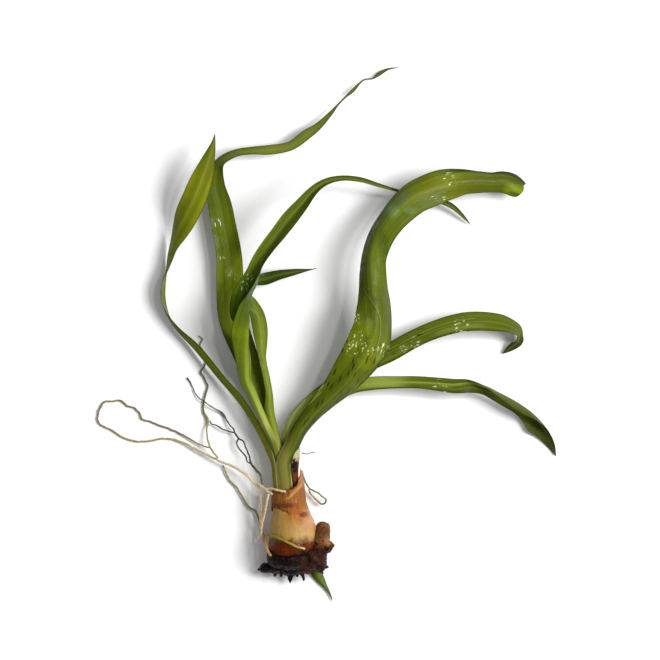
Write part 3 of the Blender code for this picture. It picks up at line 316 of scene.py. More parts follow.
# How each leaf looks. Depth is how much of its tones' red, green and blue the wet skin shows, ripple is
# how far the margins wave, and crease is how far the section is a V where it differs from the solid's.
# Tones are (share of its length, tone of its outer face, tone of its inner face). Patches are (from
# share, to share, from mm across, to mm across, tone, amount). Spots are (x, y, half width, half length,
# tone, amount). Lines are ((share, mm across) along the line, half width, tone, amount, height of the
# fold). Specks are (from share, to share, amount). A torn end is (share across, mm that it goes on).
# Many patches, spots and lines, and some tones, are painted light and shade; each is marked where it stands.
LEAF_LOOKS = {
    "outer_left_leaf": {
        "depth": (0.7, 0.67, 0.34),
        "ripple": 0.25,
        "tones": [
            (0, (138, 132, 72), (138, 134, 72)), (0.1, (128, 134, 58), (118, 130, 48)),
            (0.3, (96, 116, 30), (88, 104, 34)), (0.5, (92, 108, 32), (96, 108, 58)),
            (0.66, (112, 126, 34), (98, 108, 56)), (0.85, (124, 136, 38), (100, 112, 50)),
            (1, (96, 108, 30), (92, 104, 44)),
        ],
    },
    "tall_left_leaf": {
        "depth": (0.61, 0.6, 0.25),
        "ripple": 0.35,
        "tones": [
            (0, (150, 150, 90), (150, 150, 90)), (0.12, (128, 142, 60), (124, 140, 54)),
            (0.26, (84, 104, 28), (92, 112, 32)), (0.33, (84, 104, 28), (116, 132, 50)),
            (0.38, (86, 106, 28), (124, 146, 38)), (0.42, (88, 108, 28), (130, 148, 52)),
            (0.46, (88, 108, 28), (94, 112, 22)), (0.5, (92, 110, 34), (98, 116, 32)),
            (0.56, (94, 112, 38), (86, 104, 32)), (0.64, (106, 120, 64), (104, 118, 58)),
            (0.72, (118, 130, 92), (116, 128, 84)), (0.86, (116, 130, 84), (112, 126, 78)),
            (1, (90, 100, 70), (90, 98, 62)),
        ],
        "spots": [
            # The first spot is painted shadow where the arching leaf shades this one; the second is a painted
            # highlight.
            (-37, 152, 3, 8, (50, 64, 16), 0.5), (-42, 171.5, 3.4, 4, (150, 168, 64), 0.5),
            # These two long lighter spots are painted highlights down the blade.
            (-47, 160, 2.2, 16, (120, 134, 40), 0.4), (-44, 188, 2.4, 14, (112, 128, 36), 0.4),
        ],
    },
    "arching_leaf": {
        "depth": (0.72, 0.72, 0.46),
        "ripple": 0.2,
        "tones": [
            (0, (112, 106, 50), (130, 128, 70)), (0.09, (106, 112, 46), (130, 134, 66)),
            (0.115, (128, 140, 84), (130, 140, 62)), (0.14, (152, 166, 106), (130, 142, 60)),
            (0.17, (142, 160, 90), (124, 138, 54)), (0.24, (126, 148, 56), (92, 114, 34)),
            (0.32, (112, 130, 34), (84, 106, 30)), (0.37, (88, 108, 22), (78, 102, 18)),
            (0.41, (84, 104, 24), (86, 110, 24)), (0.46, (96, 116, 34), (94, 112, 42)),
            (0.6, (98, 118, 42), (100, 118, 50)), (0.8, (84, 102, 42), (90, 106, 42)),
            (1, (70, 86, 38), (76, 92, 38)),
        ],
        "patches": [
            # The second patch is painted shadow, where the near wall of the fold shades its far wall.
            (0.22, 0.31, 3.2, 9, (70, 82, 18), 0.6), (0.335, 0.42, -12, 5, (54, 72, 10), 0.7),
        ],
    },
    "hooked_leaf": {
        "depth": (0.68, 0.66, 0.3),
        "ripple": 0.25,
        "tones": [
            (0, (136, 130, 70), (150, 150, 86)), (0.16, (136, 148, 62), (124, 140, 54)),
            (0.34, (112, 132, 42), (108, 126, 36)), (0.55, (106, 126, 46), (106, 124, 36)),
            (0.74, (84, 102, 24), (58, 76, 14)), (0.84, (46, 66, 8), (42, 60, 6)),
            (1, (42, 52, 14), (42, 52, 14)),
        ],
    },
    "broad_leaf": {
        "depth": (0.61, 0.59, 0.34),
        "ripple": 0.45,
        "tones": [
            (0, (122, 116, 58), (132, 130, 70)), (0.05, (100, 110, 42), (116, 130, 56)),
            (0.16, (88, 104, 30), (84, 104, 28)), (0.3, (92, 108, 24), (92, 112, 28)),
            (0.38, (108, 124, 26), (98, 118, 30)), (0.46, (90, 106, 28), (98, 118, 30)),
            (0.58, (92, 112, 24), (92, 112, 30)), (0.72, (104, 122, 46), (90, 110, 34)),
            (0.8, (112, 124, 40), (92, 108, 30)), (0.9, (96, 108, 34), (92, 108, 30)),
            (1, (88, 98, 32), (110, 132, 30)),
        ],
        "patches": [
            (-0.02, 0.09, -9, -0.5, (118, 112, 56), 0.6), (-0.02, 0.045, 3.8, 12, (104, 62, 26), 0.95),
            # Painted shade: the dark patches on the right flank from the neck up, this line's second and the
            # next line's first, and the next line's second along the border with the curled leaf.
            (0.085, 0.125, -1.6, 2, (66, 74, 14), 0.7), (0.05, 0.19, 2.6, 18, (40, 50, 10), 0.8),
            (0.19, 0.26, 4.4, 18, (44, 54, 12), 0.7), (0.14, 0.19, -9, -4.6, (60, 70, 10), 0.6),
            # Painted light: a lighter band and a pale edge on the left flank, which lies in shade.
            (0.19, 0.225, -14, -7, (124, 138, 56), 0.7), (0.22, 0.245, -14, -9.2, (150, 160, 112), 0.7),
            # Painted shade along the right margin, then a painted grey-green sheen to the right of the
            # crease.
            (0.26, 0.44, 12, 20, (50, 62, 14), 0.7), (0.41, 0.5, 5.4, 16, (84, 92, 56), 0.6),
            # The first patch is painted shade over the left flank, which is turned from the light.
            (0.51, 0.67, -18, -6, (36, 48, 8), 0.85), (0.51, 0.6, -3.4, 0.6, (66, 78, 20), 0.6),
            (0.51, 0.6, 0.8, 9, (88, 104, 14), 0.6), (0.6, 0.68, -4, 1.6, (66, 80, 22), 0.6),
            # The first patch is a painted bluish sheen.
            (0.67, 0.73, -8, 0, (90, 104, 70), 0.6), (0.79, 0.85, -10, -2, (112, 124, 40), 0.5),
            (0.83, 0.97, -2.2, 1.6, (74, 84, 24), 0.7), (0.74, 0.8, 2, 12, (92, 106, 56), 0.5),
            (0.955, 1.02, 0.8, 16, (104, 122, 10), 0.95), (0.95, 1.02, -16, -1.2, (60, 72, 20), 0.75),
            (0.82, 1.02, -16, -6.8, (38, 48, 12), 0.85), (0.97, 1.02, 5.2, 16, (38, 46, 10), 0.85),
        ],
        "spots": [
            (57, 115, 3.2, 5, (120, 132, 66), 0.6), (47, 111, 5, 4, (110, 124, 20), 0.5),
            (50.5, 134.5, 2.6, 6, (128, 144, 54), 0.7), (54, 150, 2.4, 7, (62, 74, 16), 0.7),
            # The spots at x 67 and x 78 are a painted bluish sheen.
            (61, 125, 3, 5, (88, 100, 44), 0.6), (67, 211.5, 4, 4.4, (116, 140, 86), 0.7),
            (78, 213, 5, 2.6, (112, 132, 84), 0.5), (60, 190, 3.6, 11, (40, 56, 0), 0.5),
            (51, 141, 5, 9, (62, 76, 10), 0.5), (91, 217, 6, 2.4, (84, 100, 16), 0.5),
        ],
        "crease": 0.35,
        "lines": [
            # The first line is painted shade along the border with the curled leaf.
            ([(0.12, -5.6), (0.16, -8), (0.2, -9.2)], 0.5, (30, 38, 6), 0.7, 0),
            ([(0.9, -7.4), (0.93, -6.8), (0.96, -6.2), (0.98, -5.2), (1, -3.4)], 0.7, (28, 36, 8), 0.9, 0),
            ([(0, 2.9), (0.03, 3.1), (0.06, 3.6)], 0.5, (184, 186, 130), 0.7, 0),
            (
                [(0.37, 5.6), (0.41, 4.6), (0.44, 2.6), (0.48, -2.6), (0.505, -7)],
                0.4, (124, 134, 76), 0.55, 1.2,
            ),
            # This dark line is painted shadow beside the crease above.
            ([(0.37, 4.8), (0.41, 3.8), (0.44, 1.8), (0.48, -3.4), (0.505, -7.8)], 0.5, (58, 70, 16), 0.5, 0),
            ([(0.5, -2.4), (0.56, -1.4), (0.62, -1), (0.68, -0.6)], 0.5, (104, 118, 48), 0.5, 0.5),
            ([(0.7, 1.2), (0.76, 0.8), (0.82, 1.6)], 0.5, (112, 124, 62), 0.5, 0.5),
            ([(0.6, 4.4), (0.66, 5), (0.72, 4.6)], 0.35, (66, 80, 20), 0.5, -0.6),
            ([(0.76, 3.6), (0.84, 3), (0.93, 3.4)], 0.35, (74, 86, 24), 0.4, -0.6),
        ],
        "specks": (0.14, 0.38, 0.74),
        "torn_end": [
            (-1, 0.2), (-0.8, 3), (-0.6, 5), (-0.42, 6.4), (-0.28, 5.4), (-0.15, 4.4),
            (0, 4.7), (0.2, 5), (0.45, 4.3), (0.8, 2.4), (1, 0.4),
        ],
    },
    "curled_right_leaf": {
        "depth": (0.6, 0.58, 0.3),
        "ripple": 0.3,
        "tones": [
            (0, (136, 140, 72), (136, 140, 72)), (0.12, (124, 140, 60), (124, 140, 60)),
            # The pale tones from 0.145 to 0.26, palest on the inner face, are painted light where the broad
            # leaf shades this leaf's base.
            (0.145, (150, 166, 80), (226, 244, 176)), (0.26, (150, 166, 80), (220, 238, 166)),
            (0.33, (124, 144, 56), (126, 142, 56)), (0.45, (96, 112, 30), (94, 110, 26)),
            (0.7, (104, 118, 40), (100, 116, 32)), (0.86, (100, 114, 50), (100, 114, 46)),
            (0.91, (90, 104, 40), (96, 108, 52)), (0.945, (56, 70, 18), (58, 72, 16)),
            (1, (44, 54, 14), (46, 56, 14)),
        ],
        "patches": [
            (0.4, 0.9, -9, -5.2, (46, 58, 12), 0.7), (0.4, 0.9, 5, 9, (56, 70, 14), 0.5),
            (0.47, 0.62, -4.8, -1.2, (112, 124, 40), 0.65), (0.66, 0.8, -5, -1.2, (120, 130, 60), 0.6),
            (0.5, 0.76, 0.8, 5, (72, 84, 18), 0.5),
        ],
        "lines": [
            # The first line is a painted highlight streak.
            ([(0.16, 1.4), (0.2, 3), (0.23, 3.8), (0.26, 4.4)], 0.6, (214, 224, 150), 0.7, 0),
            ([(0.46, -1), (0.62, -0.8), (0.8, -0.8), (0.9, -0.6)], 0.45, (64, 76, 18), 0.5, 0.7),
            ([(0.46, 2.4), (0.62, 2), (0.78, 2.4)], 0.4, (124, 138, 54), 0.45, -0.5),
        ],
        "specks": (0.46, 0.66, 0.56),
    },
    "lower_right_leaf": {
        "depth": (0.72, 0.68, 0.38),
        "ripple": 0.3,
        "tones": [
            (0, (136, 140, 72), (136, 140, 72)), (0.25, (112, 132, 46), (128, 146, 58)),
            (0.42, (100, 120, 38), (128, 146, 58)), (0.5, (92, 110, 34), (106, 124, 42)),
            (0.6, (86, 102, 34), (104, 118, 48)), (0.68, (84, 100, 32), (102, 116, 44)),
            (0.76, (78, 92, 36), (124, 134, 80)), (0.84, (78, 88, 52), (112, 122, 68)),
            (0.91, (76, 88, 48), (74, 86, 40)), (1, (72, 82, 42), (60, 72, 32)),
        ],
        "patches": [
            # The dark patch is painted shade along the margin wall turned from the light, and the pale patch
            # is a painted highlight.
            (0.36, 0.74, -8, -3.8, (40, 52, 12), 0.75), (0.36, 0.49, -3.4, 8, (156, 170, 78), 0.7),
        ],
        "lines": [
            ([(0.4, 0.4), (0.5, 0.6), (0.62, 0.2), (0.72, 0)], 0.6, (146, 160, 76), 0.55, 0.6),
            ([(0.62, -2.2), (0.74, -1.6), (0.84, -1)], 0.45, (44, 54, 14), 0.6, -0.6),
        ],
    },
    "basal_leaf": {
        "depth": (0.82, 0.74, 0.46),
        "ripple": 0.1,
        "tones": [
            (0, (66, 84, 34), (66, 84, 34)), (0.5, (78, 104, 42), (70, 96, 36)),
            (1, (60, 74, 40), (56, 70, 36)),
        ],
    },
}
EDGE_TONE = (40, 48, 12)
SPECK_TONE = (26, 32, 8)
NECK_EDGE_TONE = (172, 170, 112)
MIDRIB_TONE = (150, 160, 84)
# The tone of the painted highlights on the wet spots.
PAINTED_GLINT_TONE = (234, 238, 184)

# A bead of water, before its size is drawn.
BEAD_HALF_WIDTH = 0.34
BEAD_HEIGHT = 0.2
# Where a leaf is wettest, as (x, y, how many beads of water, spread, length of a bead along the leaf).
# Painted highlights are laid over the same spots.
WET_AND_GLINT_SPOTS = {
    "tall_left_leaf": [
        (-43, 171.5, 3, 2.6, 2.4), (-38.6, 168.6, 2, 1.8, 1.6), (-47, 182, 1, 1.8, 2.4),
        (-50, 205, 2, 2.4, 3),
    ],
    "arching_leaf": [(-32, 162.5, 3, 3, 1.7), (-28.8, 168, 2, 2.4, 1.8)],
    "broad_leaf": [
        (43, 141, 2, 3, 1.5), (43.5, 127, 3, 4.2, 1.5), (39, 121, 2, 4, 1.4),
        (50, 121, 3, 4.2, 1.5), (60.5, 121, 2, 4, 1.6), (104, 234, 2, 3.6, 1.8),
        (94, 221, 1, 2.6, 1.7), (100, 221, 1, 3, 1.7),
    ],
    "curled_right_leaf": [(112, 135.6, 3, 4.6, 1.8), (82, 123.6, 2, 4.4, 1.6), (74, 121, 1, 2.6, 1.6)],
    "lower_right_leaf": [(98, 94.8, 2, 4.4, 1.6)],
}

# The small leaf past the basal plate and the dried leaf base, with the leaves' columns.
BASAL_LEAF = [
    (12, -21, 2.4, 6.5, 0, -30), (15.6, -29, 2.4, 7.4, 0, -35), (19, -34.2, 2.3, 5.4, 5, -45),
    (21.5, -37.8, 2.1, 3, 10, -45), (23.9, -41.8, 1.8, 1.6, 10, -30), (25.5, -45.4, 1.4, 0.9, 10, -20),
    (26.3, -48.6, 1, 0, 10, -20),
]
DRIED_BASE = [
    (3, 27.6, 17.4, 4.4, -60, -60), (2.6, 34, 18.6, 5.2, -48, -60), (1.9, 40, 19.6, 6, -36, -55),
    (2.2, 46, 19.6, 6, -34, -45), (3.4, 51, 18.6, 4.6, -40, -35), (4.6, 55.5, 17, 0, -50, -30),
]
# The dried leaf base's tones as (share of the way up it, tone).
DRIED_TONES = [
    (0, (118, 66, 26)), (0.38, (100, 56, 22)), (0.5, (40, 18, 12)), (0.66, (36, 16, 11)),
    (0.74, (150, 140, 98)), (0.88, (188, 194, 150)), (1, (170, 176, 132)),
]
# Marks on the tunic, the basal crust and its lump, as (x, y, half width, half length, tone, amount).
TUNIC_STAINS = [(7.2, 10.6, 3.2, 2.2, (88, 30, 8), 0.85), (-0.6, 16.4, 2.4, 1, (116, 50, 14), 0.8)]
TUNIC_STREAKS = [(3, 15, 1.1, 6, (132, 58, 16), 0.6)]
CRUST_STAINS = [(6.5, -14, 5, 2.6, (96, 54, 28), 0.7)]
LUMP_STAINS = [(20.2, -0.6, 2.6, 3, (74, 30, 14), 0.75), (23, -7.6, 2.2, 3, (158, 112, 70), 0.75)]

# How each root looks: how slim it is against its solid, the share of its length that its side roots are
# toned as, and its tones as (share of its length, tone).
ROOT_LOOKS = {
    "long_looped_root": {"slim": 0.9, "side_share": 0.12, "tones": [
        (0, (196, 152, 100)), (0.06, (226, 196, 158)), (0.14, (228, 206, 174)), (0.3, (196, 180, 142)),
        (0.5, (158, 142, 92)), (0.72, (132, 118, 78)), (0.9, (126, 112, 78)), (1, (160, 140, 100)),
    ]},
    "upright_root": {"slim": 0.86, "tones": [
        (0, (160, 150, 104)), (0.3, (150, 142, 78)), (0.42, (112, 106, 76)), (0.7, (104, 100, 84)),
        (1, (150, 148, 120)),
    ]},
    "forked_root": {"slim": 0.88, "side_share": 0.7, "tones": [
        (0, (94, 92, 48)), (0.16, (72, 74, 44)), (0.3, (54, 54, 40)), (0.6, (78, 76, 64)), (1, (60, 58, 48)),
    ]},
    "drooping_root": {"slim": 0.82, "tones": [
        (0, (116, 84, 40)), (0.3, (124, 120, 62)), (0.6, (150, 146, 92)), (1, (150, 146, 104)),
    ]},
    "side_root": {"slim": 0.9, "tones": [
        (0, (222, 194, 152)), (0.4, (214, 184, 138)), (0.8, (220, 194, 156)), (1, (222, 202, 172)),
    ]},
    "crossing_root": {"slim": 0.95, "tones": [
        (0, (150, 124, 40)), (0.4, (140, 126, 36)), (0.85, (160, 142, 58)), (1, (226, 196, 128)),
    ]},
    "short_root": {"slim": 0.92, "tones": [(0, (176, 130, 62)), (0.6, (206, 160, 84)), (1, (196, 150, 76))]},
    "right_looped_root": {"slim": 0.9, "tones": [
        (0, (176, 168, 124)), (0.2, (112, 112, 76)), (0.42, (116, 118, 64)), (0.62, (96, 98, 56)),
        (0.78, (150, 148, 86)), (1, (206, 196, 140)),
    ]},
    "hair_root": {"slim": 0.8, "tones": [(0, (120, 116, 100)), (1, (124, 120, 110))]},
}

# The picture is 660 pixels of two thirds of a millimetre, and its middle is over this place.
PICTURE_SIDE = 0.440
PICTURE_MIDDLE = (0.0247, 0.1333)
CAMERA_HEIGHT = 4.0
# The height over the floor that the picture's side is measured at.
PLANT_MIDDLE = 0.012
SENSOR_WIDTH = 36.0
SKY_STRENGTH = 0.40
SKY_REFLECTED = 0.10

# The lights, as (name, place, side, power), in metres and watts, and the place that they shine on.
LIGHTS = [("window", (1.4, 0.34, 1.66), 0.85, 56.0), ("lamp", (0.7, 0.6, 1.9), 0.16, 6.0)]
LIGHT_TARGET = (0.03, 0.13, 0.0)
# How far the floor reaches each way, and how far it lies under the plant, in metres.
FLOOR_REACH = 3.0
FLOOR_GAP = 0.0002


def paint(red, green, blue):
    """A colour given as it looks, 0 to 255, in the linear values that a shader takes."""
    shares = [v / 255 for v in (red, green, blue)]
    return tuple(v / 12.92 if v <= 0.04045 else ((v + 0.055) / 1.055) ** 2.4 for v in shares) + (1.0,)


def curve_between(low, high, low_slope, high_slope, span, t):
    """A smooth curve from low to high over a span, read at a share t of it."""
    return (
        (2 * t**3 - 3 * t**2 + 1) * low
        + (t**3 - 2 * t**2 + t) * span * low_slope
        + (3 * t**2 - 2 * t**3) * high
        + (t**3 - t**2) * span * high_slope
    )


def smooth_rows(rows, step):
    """Rows read along a smooth curve through the given ones, evenly spaced by their first three columns."""
    rows = np.array(rows, float)
    gaps = np.linalg.norm(np.diff(rows[:, :3], axis=0), axis=1)
    knots = np.concatenate([[0.0], np.cumsum(gaps)])
    slopes = np.diff(rows, axis=0) / gaps[:, None]
    before, after = gaps[:-1, None], gaps[1:, None]
    inner = (slopes[:-1] * after + slopes[1:] * before) / (before + after)
    tangents = np.vstack([slopes[:1], inner, slopes[-1:]])
    count = max(3, int(round(knots[-1] / step)) + 1)
    places = np.linspace(0.0, knots[-1], count)
    index = np.clip(np.searchsorted(knots, places, side="right") - 1, 0, len(gaps) - 1)
    span = gaps[index][:, None]
    t = (places - knots[index])[:, None] / span
    return curve_between(rows[index], rows[index + 1], tangents[index], tangents[index + 1], span, t)


def unit(vector):
    return vector / np.linalg.norm(vector)


def limited(value):
    return min(1.0, max(0.0, value))


def carried_frames(points):
    """Tangent, right side and normal at each point: the normal starts up and is carried along untwisted."""
    tangents = np.gradient(points, axis=0)
    tangents /= np.linalg.norm(tangents, axis=1)[:, None]
    normal = unit(np.array([0.0, 0.0, 1.0]) - tangents[0][2] * tangents[0])
    normals = []
    for tangent in tangents:
        normal = unit(normal - np.dot(normal, tangent) * tangent)
        normals.append(normal)
    normals = np.array(normals)
    return tangents, np.cross(tangents, normals), normals


def neck_station(share, angle, radius, width):
    """A leaf station on a ring round the neck's axis, with the leaf bent round the axis."""
    x, y, z = np.array(NECK_START) + share * (np.array(NECK_END) - np.array(NECK_START))
    turn = math.radians(angle)
    bend = -math.degrees(width / radius)
    return (x + radius * math.sin(turn), y, z + radius * math.cos(turn), width, -angle, bend)


def leaf_stations(name):
    base, crease, stations = LEAVES[name]
    sheath = [neck_station(share, *base) for share in SHEATH_SHARES]
    turns = 360 * round((sheath[-1][4] - stations[0][4]) / 360)
    return sheath + [(*row[:4], row[4] + turns, row[5]) for row in stations], crease


def section_offsets(shares, width, cup, crease):
    """Offsets across a leaf along its right side and its normal, at shares of the half width from -1 to 1."""
    middle = (shares[1:] + shares[:-1]) / 2
    bend = math.radians(cup) / 2 * ((1 - crease) * middle + crease * np.tanh(middle * 9))
    reach = np.diff(shares) * width / 2
    across = np.concatenate([[0.0], np.cumsum(reach * np.cos(bend))])
    along = np.concatenate([[0.0], np.cumsum(reach * np.sin(bend))])
    centre = len(shares) // 2
    return across - across[centre], along - along[centre]


def put_object(name, data):
    placed = bpy.data.objects.new(name, data)
    bpy.context.collection.objects.link(placed)
    return placed


def new_piece(name, points, faces, material, replaced):
    """A mesh piece in metres from points in millimetres, that rides on the plant in place of a solid."""
    mesh = bpy.data.meshes.new(name)
    lifted = np.array(points, float) * MM
    lifted[:, 2] = np.maximum(lifted[:, 2], FLOOR)
    mesh.from_pydata(lifted.tolist(), [], faces)
    mesh.materials.append(material)
    work = bmesh.new()
    work.from_mesh(mesh)
    bmesh.ops.recalc_face_normals(work, faces=work.faces)
    work.to_mesh(mesh)
    work.free()
    mesh.shade_smooth()
    piece = put_object(name, mesh)
    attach(piece, "root")
    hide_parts(replaced)
    return piece


def store_value(mesh, name, values):
    layer = mesh.attributes.new(name, "FLOAT", "POINT")
    layer.data.foreach_set("value", np.array(values, np.float32))


def store_map(mesh, across, along):
    """A UV map in centimetres over the blade."""
    layer = mesh.uv_layers.new(name="blade_map")
    corners = np.zeros(len(mesh.loops), np.int32)
    mesh.loops.foreach_get("vertex_index", corners)
    pairs = np.column_stack([np.array(across)[corners] * 0.1 + 0.5, np.array(along)[corners] * 0.1])
    layer.data.foreach_set("uv", pairs.astype(np.float32).ravel())


def ring_faces(rings, size, first=0, closed=False):
    """Faces from each ring of points to the next, and from the last to the first where closed."""
    faces = []
    for ring in range(rings if closed else rings - 1):
        here = first + ring * size
        there = first + (ring + 1) % rings * size
        for k in range(size):
            after = (k + 1) % size
            faces.append((here + k, here + after, there + after, there + k))
    return faces


def ring_cap(ring, size, first=0):
    start = first + ring * size
    return tuple(range(start, start + size))


def blade_faces(rings, tip):
    """Faces round a blade's rings, with a cap at its start and its tip, or a seam across, at its end."""
    size = 2 * LEAF_COLUMNS
    last = (rings - 1) * size
    faces = ring_faces(rings, size) + [ring_cap(0, size)]
    if tip is None:
        for k in range(LEAF_COLUMNS - 1):
            faces.append((last + k, last + k + 1, last + size - 2 - k, last + size - 1 - k))
        return faces
    for k in range(size):
        faces.append((last + k, last + (k + 1) % size, tip))
    return faces


def blade_profile(shares, thick, width):
    """Half thickness at each share across a blade, and how far its midrib stands out of the back."""
    half = thick / 2 * (1 - np.abs(shares) ** 2.2) + MARGIN_HALF_THICKNESS
    rib = MIDRIB_HEIGHT * np.exp(-((shares * width / 2 / MIDRIB_HALF_WIDTH) ** 2)) * min(1.0, thick)
    return half, rib


def margin_wave(shares, along, width, ripple, seed):
    """How far the blade waves up and down near each margin, a little more at one side than the other."""
    left = math.sin(along / 11.0 + seed) + 0.6 * math.sin(along / 5.3 + 2.1 * seed)
    right = math.sin(along / 13.0 + 1.7 * seed + 1.0) + 0.6 * math.sin(along / 6.1 + 0.7 * seed)
    side = np.where(shares < 0, left, right)
    reach = ripple * min(1.0, width / 12)
    ridges = RIDGE_HEIGHT * np.sin(shares * width * 1.9 + 0.5 * math.sin(along / 17 + seed))
    return reach * side * np.abs(shares) ** 3 + ridges * (1 - np.abs(shares) ** 4) * min(1.0, width / 8)


def add_ring(points, read, back, front, across, along, margin):
    """Adds a ring, over a blade's back and round its front, with what the material reads at each point."""
    points += list(back) + list(front[::-1])
    for name, values in (("across_mm", across), ("along_mm", along), ("margin_mm", margin)):
        read[name] += list(values) + list(values[::-1])
    read["outer_face"] += [1.0] * LEAF_COLUMNS + [0.0] * LEAF_COLUMNS


def blade_rings(stations, crease, ripple, seed, sheathed, torn_end=()):
    """Rings of points round the blade's sections, its tip, and what the material reads at each point.

    A torn end is (share across the blade, how far the blade goes on there); it starts three stations
    before the last one, and the blade then has no tip point.
    """
    fine = smooth_rows(stations, SAMPLE_STEP)
    tangents, sides, normals = carried_frames(fine[:, :3])
    last = len(fine) - 1
    picked = np.linspace(0, last, max(8, int(last / SECTION_STEP)))[:-1]
    if torn_end:
        gaps = np.linalg.norm(np.diff(np.array(stations)[:, :3], axis=0), axis=1)
        stop = last * gaps[:-3].sum() / gaps.sum()
        picked = np.append(picked[picked < stop - 0.5], stop)
    turns = np.linspace(-math.pi / 2, math.pi / 2, LEAF_COLUMNS) * COLUMN_CROWDING
    shares = np.sin(turns) / math.sin(math.pi / 2 * COLUMN_CROWDING)
    points = []
    read = {"across_mm": [], "along_mm": [], "margin_mm": [], "outer_face": []}
    for place in picked:
        low = int(place)
        part = place - low
        x, y, z, width, roll, cup = fine[low] * (1 - part) + fine[low + 1] * part
        side = unit(sides[low] * (1 - part) + sides[low + 1] * part)
        up = unit(normals[low] * (1 - part) + normals[low + 1] * part)
        turn = math.radians(roll)
        right = math.cos(turn) * side + math.sin(turn) * up
        normal = math.cos(turn) * up - math.sin(turn) * side
        come = place * SAMPLE_STEP
        grown = limited((come - SHEATH_LENGTH) / SHEATH_LENGTH) if sheathed else 1.0
        width = max(width, LEAST_WIDTH)
        across, along = section_offsets(shares, width, cup, crease * grown)
        thick = min(BLADE_THICKNESS * (1 - place / last) + BLADE_THIN_END * place / last, width * 0.4)
        half, rib = blade_profile(shares, thick, width)
        wave = margin_wave(shares, come, width, ripple * grown, seed)
        line = np.array([x, y, z]) + np.outer(across, right) + np.outer(along + wave, normal)
        back = line + np.outer(half + rib, normal)
        front = line - np.outer(half - rib * 0.6, normal)
        reach = shares * width / 2
        to_margin = width / 2 - np.abs(reach)
        add_ring(points, read, back, front, reach, np.full(LEAF_COLUMNS, come), to_margin)
    if not torn_end:
        points.append(fine[-1, :3])
        for name, value in zip(read, (0.0, last * SAMPLE_STEP, 0.0, 0.5)):
            read[name].append(value)
        return points, len(picked), read
    goes_on = np.interp(shares, [s for s, _ in torn_end], [mm for _, mm in torn_end])
    middle_line = (back + front) / 2
    for share in TORN_SHARES:
        moved = middle_line + np.outer(goes_on * share, tangents[int(stop)])
        moved[:, 2] -= TORN_DROOP * (goes_on * share) ** 2
        thin = (back - middle_line) * (1 - 0.8 * share)
        margin = np.minimum(to_margin, goes_on * (1 - share) + 0.3)
        add_ring(points, read, moved + thin, moved - thin, reach, stop + goes_on * share, margin)
    return points, len(picked) + len(TORN_SHARES), read


def build_blade(name, stations, crease, ripple, seed, material, sheathed=True, torn_end=()):
    points, rings, read = blade_rings(stations, crease, ripple, seed, sheathed, torn_end)
    faces = blade_faces(rings, None if torn_end else len(points) - 1)
    piece = new_piece(f"{name}_blade", points, faces, material, name)
    read["share"] = np.array(read["along_mm"]) / max(read["along_mm"])
    for label, values in read.items():
        store_value(piece.data, label, values)
    store_map(piece.data, read["across_mm"], read["along_mm"])
    return piece


class Reading:
    """A number, colour or place that a shader reads. Each sum with it adds a maths node to its tree."""

    def __init__(self, socket):
        self.socket = socket

    def __add__(self, other):
        return maths("ADD", self, other)

    def __radd__(self, other):
        return maths("ADD", other, self)

    def __sub__(self, other):
        return maths("SUBTRACT", self, other)

    def __rsub__(self, other):
        return maths("SUBTRACT", other, self)

    def __mul__(self, other):
        return maths("MULTIPLY", self, other)

    def __rmul__(self, other):
        return maths("MULTIPLY", other, self)

    def __truediv__(self, other):
        return maths("DIVIDE", self, other)

    def __rtruediv__(self, other):
        return maths("DIVIDE", other, self)

    def __pow__(self, other):
        return maths("POWER", self, other)

    def __abs__(self):
        return maths("ABSOLUTE", self)

    def clamped(self):
        self.socket.node.use_clamp = True
        return self

    def step(self, low, high):
        """0 below low, 1 above high, smooth between; high may be the lower one."""
        return remap(self, low, high, 1.0, "SMOOTHSTEP")


def feed(socket, value):
    """Links a reading into a socket, or sets a plain value on it."""
    if isinstance(value, Reading):
        socket.id_data.links.new(value.socket, socket)
    else:
        socket.default_value = value


def add_node(kind, values, **settings):
    """A node in the tree of the first reading among the values, which are fed in by input name or number."""
    tree = next(v.socket.id_data for v in values.values() if isinstance(v, Reading))
    made = tree.nodes.new(kind)
    for label, setting in settings.items():
        setattr(made, label, setting)
    for label, value in values.items():
        feed(made.inputs[label], value)
    return made


def maths(operation, a, b=0.0):
    return Reading(add_node("ShaderNodeMath", {0: a, 1: b}, operation=operation).outputs[0])


def remap(value, low, high, top, way="LINEAR"):
    values = {"Value": value, "From Min": low, "From Max": high, "To Max": top}
    return Reading(add_node("ShaderNodeMapRange", values, interpolation_type=way).outputs["Result"])


def blend(share, first, second, way="MIX"):
    made = add_node("ShaderNodeMix", {0: share, 6: first, 7: second}, data_type="RGBA", blend_type=way)
    return Reading(made.outputs[2])


def tinted(colour, tint, share=1.0):
    return blend(share, colour, (*tint, 1.0), "MULTIPLY")


def lay(colour, mask, tone, amount):
    """Lays a tone over a colour by a mask and an amount."""
    return blend(mask * amount, colour, paint(*tone))


def mix_tones(share, first, second):
    return blend(share, paint(*first), paint(*second))


def colour_track(share, stops):
    made = add_node("ShaderNodeValToRGB", {"Fac": share})
    made.color_ramp.interpolation = "EASE"
    marks = made.color_ramp.elements
    while len(marks) < len(stops):
        marks.new(0.5)
    for mark, (place, colour) in zip(marks, stops):
        mark.position = place
        mark.color = paint(*colour)
    return Reading(made.outputs["Color"])


def read_value(tree, name):
    made = tree.nodes.new("ShaderNodeAttribute")
    made.attribute_name = name
    return Reading(made.outputs["Fac"])


def join_place(x, y, z):
    return Reading(add_node("ShaderNodeCombineXYZ", {0: x, 1: y, 2: z}).outputs["Vector"])


def split_place(place):
    return [Reading(part) for part in add_node("ShaderNodeSeparateXYZ", {0: place}).outputs]


